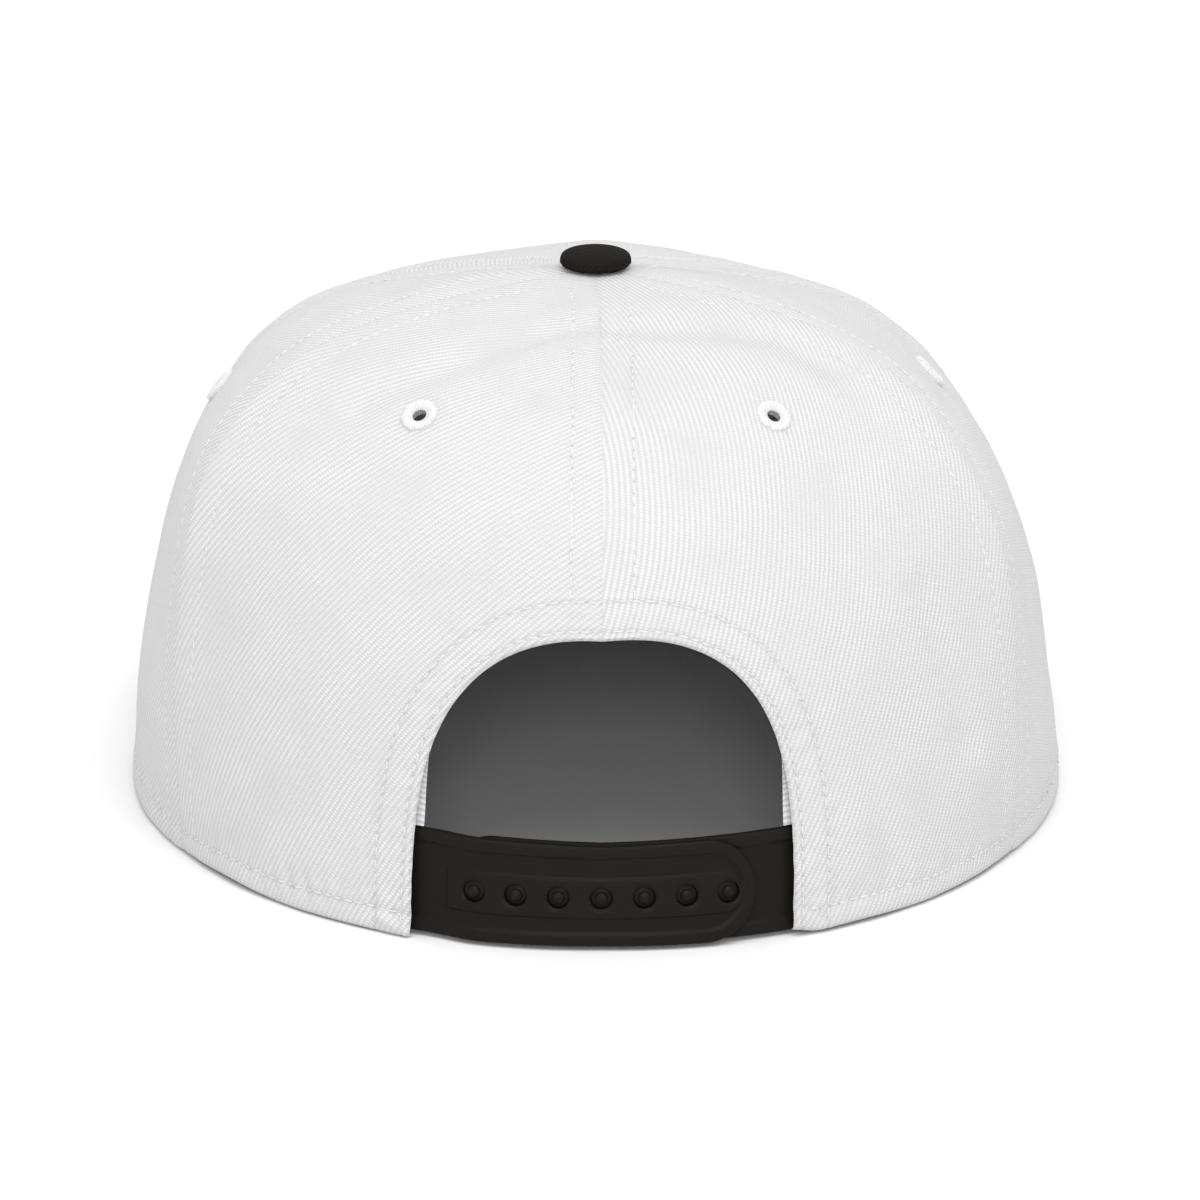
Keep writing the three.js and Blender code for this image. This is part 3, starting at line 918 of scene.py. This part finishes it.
# Ends of the stitches along a line of flat places
def stitchEnds(line, pitch, seed):
    steps = np.linalg.norm(np.diff(line, axis=0), axis=1)
    length = steps.sum()
    chance = np.random.default_rng(seed)
    middles = np.arange(pitch / 2, length - pitch / 2, pitch)
    middles = middles + chance.normal(0, rowing["wander"], len(middles))
    reach = stitch["length"] / 2
    slip = chance.normal(0, rowing["slip"], (2, len(middles), 2))
    start = along(line, (middles - reach) / length) + slip[0]
    end = along(line, (middles + reach) / length) + slip[1]
    return start, end


def clothRun(panel, line, seed):
    start, end = stitchEnds(line, cloth["stitchPitch"], seed)
    middle = (start + end) / 2
    normal = crownNormal(*goreToCrown(panel["gore"], *middle.T))
    return clothOutside(panel, *start.T), clothOutside(panel, *end.T), normal


def offsetLine(line, distance, side):
    ahead = unit(np.gradient(line, axis=0))
    return line + np.stack([ahead[:, 1], -ahead[:, 0]], 1) * distance * side


# The gaps past the ends of a run's stitches
def gapsAfter(run):
    start, end, normal = run
    return end, end + (end - start) * (cloth["stitchPitch"] / stitch["length"] - 1), normal


# Rows of stitches, each with whether grey beads paint shade into its needle holes
def crownRows():
    runs = []
    for panel in panels:
        gore = panel["gore"]
        backSide = -backSides.get(panel["name"], 0)
        for side in (-1, 1):
            low = archEdge(panel)[-1, 1] + arch["rows"][-1] if side == backSide else cloth["hemRow"]
            ups = np.linspace(low, gore["up"][-1] - rowing["topClear"], rowing["points"])
            line = np.stack([side * (halfAt(gore, ups) - cloth["seamRow"]), ups], 1)
            runs.append((clothRun(panel, line, panel["seed"] + side), side == backSide))
        rimStart, rimEnd = -halfAt(gore, 0), halfAt(gore, 0)
        if backSide:
            foot = archEdge(panel)[0, 0] - backSide * arch["rows"][0]
            rimStart, rimEnd = (foot, rimEnd) if backSide < 0 else (rimStart, foot)
        across = np.linspace(rimStart + rowing["endClear"], rimEnd - rowing["endClear"], rowing["points"])
        line = np.stack([across, 0 * across + cloth["hemRow"]], 1)
        runs.append((clothRun(panel, line, panel["seed"] + 5), True))
        if backSide:
            for row in arch["rows"]:
                line = offsetLine(archEdge(panel), row, -backSide)
                keep = np.abs(line[:, 0]) < halfAt(gore, line[:, 1]) - rowing["seamClear"]
                line = line[keep & (line[:, 1] > rowing["footClear"])]
                runs.append((clothRun(panel, line, panel["seed"] + int(row) + 7), True))
    return runs


whiteThread = makeThread("white_thread", low=0.5, high=0.68)
# The needle holes' shade is painted with a grey thread colour
holeShade = makeThread("needle_hole_shade", low=0.36, high=0.46)
crownRuns = crownRows()
makeStitches("topstitching", [run for run, holesShaded in crownRuns], whiteThread, "crown_cloth", stitch)
holeShades = [gapsAfter(run) for run, holesShaded in crownRuns if holesShaded]
makeStitches("needle_hole_shades", holeShades, holeShade, "crown_cloth", holeShadeBead)
print("topstitching laid")


# Eyelets: rings of thread wound through the cloth

eyelet = {
    "radius": 3.5,
    "bore": 1.3,
    "height": 0.85,
    "threads": 40,
    "perThread": 4,
    "sides": 14,
    "uneven": 0.09,
    "ridgeOut": 0.1,
    "ridgeUp": 0.13,
    "boreSlope": 0.45,
    "slopeEnd": 0.4,
    "under": 2.2,
}


def makeEyelet(panel):
    deselect()
    ring = (eyelet["radius"] + eyelet["bore"]) / 2
    wire = (eyelet["radius"] - eyelet["bore"]) / 2
    bpy.ops.mesh.primitive_torus_add(
        major_segments=eyelet["threads"] * eyelet["perThread"], minor_segments=eyelet["sides"],
        major_radius=ring, minor_radius=wire)
    obj = bpy.context.object
    obj.name = "eyelet_ring_" + panel["name"]
    points = pointsOf(obj)
    angle = np.arctan2(points[:, 1], points[:, 0])
    radius = np.hypot(points[:, 0], points[:, 1])
    chance = np.random.default_rng(panel["seed"])
    reach = chance.normal(0, eyelet["uneven"], eyelet["threads"])
    thread = np.floor((angle / math.tau % 1) * eyelet["threads"] - 1e-6).astype(int) % eyelet["threads"]
    ridge = np.abs(np.sin(angle * eyelet["threads"] / 2))
    outer = ease(radius, ring, eyelet["radius"])
    slope = mixed(eyelet["boreSlope"], 1.0, ease(radius, eyelet["bore"], ring + eyelet["slopeEnd"]))
    high = points[:, 2] / wire * eyelet["height"] * slope
    above = high + eyelet["ridgeUp"] * (ridge - 0.6) * np.sign(high)
    high = np.where(points[:, 2] > 0, above, high * eyelet["under"])
    radius = radius + outer * (reach[thread] + eyelet["ridgeOut"] * (ridge - 0.5))
    across, up = radius * np.cos(angle), panel["eyeletUp"] + radius * np.sin(angle)
    setPoints(obj, inFrame(offCrown(*goreToCrown(panel["gore"], across, up), high)))
    obj.data.materials.append(eyeletThread)
    editWhole(obj, bpy.ops.mesh.normals_make_consistent, inside=False)
    return finishPiece(obj, "eyelet_thread", "eyelet_" + panel["name"], angle=70)


eyeletThread = makeThread("eyelet_thread", low=0.5, high=0.68)
for panel in panels:
    makeEyelet(panel)
print("eyelets wound")


# Top button: a round covered in the peak's cloth, gathered under its edge

button = {
    "radius": 6.55,
    "middle": 1.7,
    "crown": 1.75,
    "power": 0.72,
    "powerUnder": 0.5,
    "sides": 96,
    "rings": 40,
    "gathers": 22,
    "gatherDepth": 0.012,
    "gatherStart": (1.5, 2.2),
    "edgeBump": 0.1,
    "edgeWaves": 14,
    "edgePlace": 0.56,
    "edgeWidth": 0.35,
    "clothTurn": 5,
}


def makeButton():
    deselect()
    bpy.ops.mesh.primitive_uv_sphere_add(segments=button["sides"], ring_count=button["rings"], radius=1)
    obj = bpy.context.object
    obj.name = "button_cover"
    points = pointsOf(obj)
    angle = np.arctan2(points[:, 1], points[:, 0])
    polar = np.arccos(np.clip(points[:, 2], -1, 1))
    power = np.where(points[:, 2] > 0, button["power"], button["powerUnder"])
    radius = button["radius"] * np.abs(np.sin(polar)) ** power
    upper = np.abs(np.cos(polar)) ** power
    above = np.where(points[:, 2] > 0, upper * button["crown"], -upper * button["middle"])
    edge = hump(polar, math.pi * button["edgePlace"], button["edgeWidth"])
    radius = radius + edge * button["edgeBump"] * ripples(angle * button["edgeWaves"], 0 * angle, 5, 4)
    gathered = ease(polar, *button["gatherStart"])
    radius *= 1 + button["gatherDepth"] * np.cos(angle * button["gathers"]) * gathered
    place = roundPlaces(radius, angle, above + button["middle"] + cap["height"])
    setPoints(obj, inFrame(place + [cap["lean"] * levelTable[-1, -1], 0, 0]))
    storeUv(obj, roundPlaces(polar * button["clothTurn"], angle, 0 * angle))
    obj.data.materials.append(blackSerge)
    return finishPiece(obj, "black_cloth", "button")


blackSerge = makeSerge(
    "black_serge", (35, 35), grooveShade=0.007, crest=0.017, depth=0.1, warmth=0.12, gloss=0.05)
makeButton()
print("button covered")


# Peak: a flat board covered in black cloth, with rows of stitching that follow its edge

def peakEdge(share):
    start = crownPoint(peak["start"], 0.0)
    angle = math.pi * np.asarray(share, float)
    across = np.sign(np.cos(angle)) * np.abs(np.cos(angle)) ** (2 / peak["squareness"])
    forward = np.abs(np.sin(angle)) ** (2 / peak["squareness"])
    y = start[1] - (cap["halfLength"] + peak["reach"] + start[1]) * forward
    return np.stack([peak["halfWidth"] * across, y], -1)


def peakRow(i):
    return i * peak["rowSpacing"] + peak["rowStart"]


def layPeak(u, v):
    turn = mixed(peak["start"], 360 - peak["start"], u)
    seam = offCrown(turn, 0 * turn, cap["gap"])[:, :2]
    out = (1 - (1 - v) ** peak["outwardPull"])[:, None]
    return np.concatenate([mixed(seam, peakEdge(u), out), out], 1)


def peakSide(flat, upper):
    x, y = flat[:, 0], flat[:, 1]
    gap = fromLine(peakEdge(np.linspace(0, 1, peak["edgePoints"])), x, y)
    rows = np.max([hump(gap, peakRow(i), peak["rowWidth"]) for i in range(peak["rowCount"])], axis=0)
    relief = peak["waves"] * ripples(x, y, 71 if upper else 72, peak["waveSize"]) - peak["rowDepth"] * rows
    relief = relief + swelling(gap, peak["edgePuff"]) - rounding(gap, peak["edge"])
    high = peakUnderside(x) + (peak["thickness"] + relief if upper else -relief)
    return np.stack([x, y, np.maximum(high, peak["least"])], -1)


def peakRuns():
    runs = []
    for i in range(peak["rowCount"]):
        line = offsetLine(peakEdge(np.linspace(0, 1, peak["stitchPoints"])), peakRow(i), 1)
        beyond = np.hypot(line[:, 0] / cap["halfWidth"], line[:, 1] / cap["halfLength"])
        line = line[(beyond > peak["crownClear"]) & (line[:, 1] < 0)]
        start, end = stitchEnds(line, cloth["stitchPitch"], 300 + i)
        for upper in (True, False):
            normal = np.tile([0.0, 0.0, 1.0 if upper else -1.0], (len(start), 1))
            runs.append((peakSide(start, upper), peakSide(end, upper), normal))
    return runs


def makePeak():
    obj = makeSheetPiece(
        "peak_cover", peak["columns"], peak["rows"], layPeak,
        lambda flat: peakSide(flat, True), lambda flat: peakSide(flat, False),
        lambda flat: np.tile([0.0, 0.0, 1.0], (len(flat), 1)), [blackSerge, blackSerge])[0]
    finishPiece(obj, "black_cloth", "peak")
    makeStitches("peak_stitching", peakRuns(), blackThread, "black_cloth", stitch)


blackThread = makeThread("black_thread", low=0.008, high=0.03, warmth=0.1)
makePeak()
print("peak covered and stitched")


# Snap straps, laid along the crown's back

strap = {
    "height": 19.0,
    "thickness": 1.2,
    "lift": 0.8,
    "sewnIn": 11.0,
    "outset": 1.5,
    "bend": 11.0,
    "outerReach": 29.0,
    "innerReach": 30.0,
    "rim": 2.4,
    "relief": 0.45,
    "bead": 0.55,
    "slope": 0.3,
    "padHeight": 7.4,
    "padStart": 5.6,
    "padDrop": 0.4,
    "padEdge": 0.25,
    "padRise": 0.8,
    "tipShare": 0.16,
    "tipLeast": 0.02,
    "rowPull": 0.35,
    "backRounding": 0.3,
    "snaps": 7,
    "pitch": 7.9,
    "hole": 2.05,
    "holeSlope": (0.1, 0.5),
    "holeSides": 48,
    "punchDepth": 6,
    "sink": 0.4,
    "peg": 1.3,
    "collar": 1.98,
    "collarHeight": 0.75,
    "pegStep": 0.18,
    "pegDome": 0.15,
    "pegPower": 4,
    "pegSides": 32,
    "pegRings": 24,
    "cell": 0.32,
}
strapInset = cap["cloth"] + cap["gap"]
strapMiddle = strap["lift"] + strap["height"] / 2
padMiddle = strapMiddle - strap["padDrop"]
strapEnd = arch["halfWidth"] + strap["sewnIn"]


def outerInset(run):
    edge = arch["halfWidth"] + arch["offset"]
    return strapInset - strap["outset"] * (1 - ease(run, edge - strap["bend"], edge))


def innerInset(run):
    return outerInset(run) + strap["thickness"] + cap["gap"]


def strapPlace(run, height, inset):
    points = offCrown(np.degrees(run / cap["halfLength"]), levelAtHeight(height), -inset)
    points[..., 2] = height
    return points


def strapNormal(run):
    degrees = np.degrees(run / cap["halfLength"])
    normal = crownNormal(degrees, levelAtHeight(strapMiddle) + 0 * run)
    normal[..., 2] = 0
    return unit(normal)


snapPlaces = (np.arange(strap["snaps"]) - (strap["snaps"] - 1) / 2) * strap["pitch"]


# Distance inside a shape with one round end: run is measured from the strap's sewn end
def fromOutline(distance, height, length, half):
    beyond = np.maximum(distance - (length - half), 0)
    return half - np.hypot(beyond, height)


def makeStrapPiece(name, side, reach, inset, hasHoles):
    half = strap["height"] / 2
    length = strapEnd + reach
    columns = int(length / strap["cell"])
    rows = int(strap["height"] / strap["cell"])

    def lay(u, v):
        tip = strap["tipShare"]
        turn = np.clip((u - (1 - tip)) / tip, 0, 1) * math.pi / 2
        straight = np.minimum(u / (1 - tip), 1) * (length - half)
        wide = half * np.maximum(np.cos(turn), strap["tipLeast"])
        height = strapMiddle + wide * (2 * spread(v, strap["rowPull"]) - 1)
        return np.stack([straight + half * np.sin(turn), height, 0 * u], -1)

    def runOf(flat):
        return side * (strapEnd - flat[:, 0])

    def rimOf(flat):
        return fromOutline(flat[:, 0], flat[:, 1] - strapMiddle, length, half)

    # A rounded border, a sunken field and a raised pad along the snaps
    def depth(flat):
        distance, height = flat[:, 0], flat[:, 1]
        rim = rimOf(flat)
        pad = fromOutline(distance, height - padMiddle, length - strap["rim"], strap["padHeight"] / 2)
        pad = np.minimum(pad, distance - strap["sewnIn"] - strap["padStart"])
        field = ease(rim, strap["rim"] - strap["slope"], strap["rim"] + strap["slope"])
        raised = strap["padRise"] * ease(pad, -strap["padEdge"], strap["padEdge"])
        sunk = strap["relief"] * field * (1 - raised)
        sunk = sunk + rounding(np.maximum(rim, 0), strap["bead"])
        if hasHoles:
            start, end = strap["hole"] - strap["holeSlope"][0], strap["hole"] + strap["holeSlope"][1]
            for place in snapPlaces:
                ring = np.hypot(runOf(flat) - place, height - padMiddle)
                sunk = sunk + strap["sink"] * (1 - ease(ring, start, end))
        return sunk

    def outside(flat):
        return strapPlace(runOf(flat), flat[:, 1], inset(runOf(flat)) + depth(flat))

    def inside(flat):
        rounded = strap["backRounding"] * rounding(np.maximum(rimOf(flat), 0), strap["bead"])
        return strapPlace(runOf(flat), flat[:, 1], inset(runOf(flat)) + (strap["thickness"] - rounded))

    obj = makeSheetPiece(
        name, columns, rows, lay, outside, inside,
        lambda flat: strapNormal(runOf(flat)), [plastic, plastic])[0]
    if hasHoles:
        cutStrapHoles(obj)
    return obj


def cutStrapHoles(obj):
    for place in snapPlaces:
        deselect()
        centre = strapPlace(np.array([place]), np.array([padMiddle]), outerInset(np.array([place])))
        facing = Vector(strapNormal(np.array([place]))[0])
        bpy.ops.mesh.primitive_cylinder_add(
            vertices=strap["holeSides"], radius=strap["hole"] * mm, depth=strap["punchDepth"] * mm,
            location=inFrame(centre)[0], rotation=facing.to_track_quat("Z", "Y").to_euler())
        punch = bpy.context.object
        applyModifier(obj, "BOOLEAN", object=punch, operation="DIFFERENCE", solver="EXACT")
        bpy.data.objects.remove(punch)


# Pegs with a round dome and a wide foot that fills the hole behind it
def makePegs(obj):
    parts = [obj]
    length = strap["thickness"] + cap["gap"] + strap["pegDome"]
    for place in snapPlaces:
        deselect()
        run = np.array([place])
        root = strapPlace(run, np.array([padMiddle]), innerInset(run))
        facing = Vector(strapNormal(run)[0])
        bpy.ops.mesh.primitive_uv_sphere_add(
            segments=strap["pegSides"], ring_count=strap["pegRings"], radius=1)
        peg = bpy.context.object
        points = pointsOf(peg)
        angle = np.arctan2(points[:, 1], points[:, 0])
        high = (points[:, 2] + 1) / 2
        above = high * length
        dome = strap["peg"] * np.sqrt(np.maximum(1 - high ** strap["pegPower"], 0))
        step = ease(above, strap["collarHeight"], strap["collarHeight"] + strap["pegStep"])
        foot = (strap["collar"] - strap["peg"]) * (1 - step)
        radius = np.where(high < 0.999, dome + foot * (high > 0.001), 0)
        points = roundPlaces(radius, angle, above - cap["gap"] * (1 - high))
        turn = np.array(facing.to_track_quat("Z", "Y").to_matrix())
        setPoints(peg, inFrame(points @ turn.T + root[0]))
        peg.data.materials.append(plastic)
        parts.append(peg)
    deselect()
    for part in parts:
        part.select_set(True)
    bpy.context.view_layer.objects.active = obj
    bpy.ops.object.join()
    return obj


plastic = makePlastic("strap_plastic")
outerStrap = makeStrapPiece("strap_outer", 1, strap["outerReach"], outerInset, True)
finishPiece(outerStrap, "strap_plastic", "strap_left", angle=35)
innerStrap = makeStrapPiece("strap_inner", -1, strap["innerReach"], innerInset, False)
makePegs(innerStrap)
finishPiece(innerStrap, "strap_plastic", "strap_right", angle=40)
print("snap straps bent and pressed together")


# Sweatband inside the rim

band = {
    "height": 30.0,
    "thickness": 1.2,
    "lift": 1.0,
    "gap": 0.6,
    "ramp": 14.0,
    "columns": 360,
    "rows": 36,
    "clear": 2,
    "edge": 0.6,
    "row": (0.16, 5, 0.6),
    "puff": (0.12, 2.4, 1.6),
    "waves": 0.1,
    "waveSize": 26,
    "waveSqueeze": 0.5,
    "waveStart": (2, 12),
}


def bandInset(turn):
    past = math.degrees((strapEnd + band["gap"]) / cap["halfLength"])
    room = strap["thickness"] + cap["gap"]
    return cap["cloth"] + band["gap"] + room * (1 - ease(turn, past, past + band["ramp"]))


def makeSweatband():
    start = math.degrees((arch["halfWidth"] - arch["offset"] + band["clear"]) / cap["halfLength"])

    def lay(u, v):
        run = mixed(360 - start, start, u) * math.radians(1) * cap["halfLength"]
        return np.stack([run, band["height"] * v, 0 * u], -1)

    def side(flat, inner):
        run, up = flat[:, 0], flat[:, 1]
        degrees = np.degrees(run / cap["halfLength"])
        top = band["height"] - up
        waves = band["waves"] * ripples(run, up * band["waveSqueeze"], 91, band["waveSize"])
        row = swelling(top, band["row"]) * ticksAlong(run, cloth["hemTicks"])
        relief = swelling(top, band["puff"]) - row
        relief = relief + waves * ease(up, *band["waveStart"])
        rim = rounding(up, band["edge"]) + rounding(top, band["edge"])
        inset = bandInset(np.minimum(degrees, 360 - degrees))
        inset = inset + (band["thickness"] + relief - rim if inner else rim)
        return offCrown(degrees, levelAtHeight(band["lift"] + up), -inset)

    obj = makeSheetPiece(
        "sweatband_cloth", band["columns"], band["rows"], lay,
        lambda flat: side(flat, False), lambda flat: side(flat, True),
        lambda flat: crownNormal(np.degrees(flat[:, 0] / cap["halfLength"]), levelAtHeight(flat[:, 1])),
        [bandTwill, bandTwill])[0]
    return finishPiece(obj, "band_cloth", "sweatband")


bandTwill = makeTwill("band_twill", grooveShade=0.03, crest=0.06, pitch=0.7, depth=0.1)
makeSweatband()
print("sweatband sewn in")


# Ribbed tape inside the opening's edge

tape = {
    "width": 10.0,
    "thickness": 0.8,
    "show": 2.0,
    "setBack": 0.6,
    "fade": 0.8,
    "aboveStrap": 0.35,
    "gap": 0.5,
    "length": 140.0,
    "columns": 240,
    "rows": 20,
}


def makeTape():
    foot = strap["lift"] + strap["height"] + tape["aboveStrap"]
    first = math.asin((foot / arch["height"]) ** (arch["powerUp"] / 2))

    def lay(u, v):
        return np.stack([u, v, 0 * u], -1)

    def side(flat, inset):
        angle = mixed(first, math.pi - first, flat[:, 0])
        x, z = archOutline(angle)
        step = 0.01
        before, after = np.stack(archOutline(angle - step), -1), np.stack(archOutline(angle + step), -1)
        ahead = unit(after - before)
        show = mixed(tape["show"], -tape["setBack"], ease(z, foot, tape["fade"] * arch["height"]))
        out = mixed(-show, tape["width"] - tape["show"], flat[:, 1])
        high = np.maximum(foot, z - ahead[:, 0] * out)
        return offCrown(*backPlace(x + ahead[:, 1] * out, high, inset), -inset)

    outer = cap["cloth"] + tape["gap"]
    obj, flat = makeSheetPiece(
        "opening_tape", tape["columns"], tape["rows"], lay,
        lambda flat: side(flat, outer), lambda flat: side(flat, outer + tape["thickness"]),
        lambda flat: np.tile([0.0, 1.0, 0.0], (len(flat), 1)), [tapeRibs, tapeRibs])
    storeUv(obj, flat * [tape["length"], tape["width"], 1])
    return finishPiece(obj, "binding_tape", "arch_tape", angle=60)


tapeRibs = makeTwill(
    "tape_ribs", grooveShade=0.5, crest=0.68, pitch=0.9, depth=0.16, slant=90.0, roughness=0.8)
makeTape()
print("tape sewn round the opening")


# Floor, light and camera

studio = {
    "distance": 1800.0,
    "elevation": 18.0,
    "roll": 0.35,
    "aim": (-0.6, 0.0, 34.9),
    "focal": 9569.0,
    "frameWidth": 1200.0,
    "sensor": 36.0,
    "sky": 1.05,
    "floor": 0.78,
    "floorSize": 9,
    "floorCloud": 0.01,
    "cloudScale": 3.0,
    "clipEnd": 20,
}

lights = [
    {"name": "overhead", "place": (-0.1, 0.7, 1.4), "size": 1.4, "power": 15.0},
    {"name": "front", "place": (0.0, 1.75, 0.64), "size": 0.4, "power": 6.0},
]


def makeFloor():
    deselect()
    bpy.ops.mesh.primitive_plane_add(size=studio["floorSize"], location=(0, 0, 0))
    floor = bpy.context.object
    floor.name = "studio_floor"
    shader = Shader("studio_floor", 0.9)
    cloud = shader.noise(shader.objectPlace(), studio["cloudScale"])
    tones = grey(studio["floor"]), grey(studio["floor"] + studio["floorCloud"])
    base = shader.colour(cloud, *tones)
    floor.data.materials.append(shader.feed(Base_Color=base))


def makeLights():
    world = bpy.data.worlds.new("studio_sky")
    world.use_nodes = True
    sky = world.node_tree.nodes["Background"].inputs
    sky["Color"].default_value = (1, 1, 1, 1)
    sky["Strength"].default_value = studio["sky"]
    bpy.context.scene.world = world
    for light in lights:
        lamp = bpy.data.lights.new(light["name"], "AREA")
        lamp.size = light["size"]
        lamp.energy = light["power"]
        obj = bpy.data.objects.new(light["name"], lamp)
        place = Vector(light["place"])
        obj.matrix_world = Matrix.Translation(place) @ place.to_track_quat("Z", "Y").to_matrix().to_4x4()
        bpy.context.collection.objects.link(obj)


def makeCamera():
    tilt, roll = math.radians(studio["elevation"]), math.radians(studio["roll"])
    back = Vector((0, math.cos(tilt), math.sin(tilt)))
    level = Vector((-1, 0, 0))
    up = back.cross(level)
    right = level * math.cos(roll) + up * math.sin(roll)
    up = up * math.cos(roll) - level * math.sin(roll)
    lens = bpy.data.cameras.new("camera")
    lens.sensor_width = studio["sensor"]
    lens.lens = studio["focal"] / studio["frameWidth"] * studio["sensor"]
    lens.clip_end = studio["clipEnd"]
    camera = bpy.data.objects.new("camera", lens)
    aim = Vector(studio["aim"]) + Vector((0, crownMiddle, 0))
    turn = Matrix((right, up, back)).transposed().to_4x4()
    camera.matrix_world = Matrix.Translation((aim + back * studio["distance"]) * mm) @ turn
    bpy.context.collection.objects.link(camera)
    bpy.context.scene.camera = camera


makeFloor()
makeLights()
makeCamera()
bpy.context.scene.view_settings.view_transform = "Standard"
print("floor, lights and camera set")
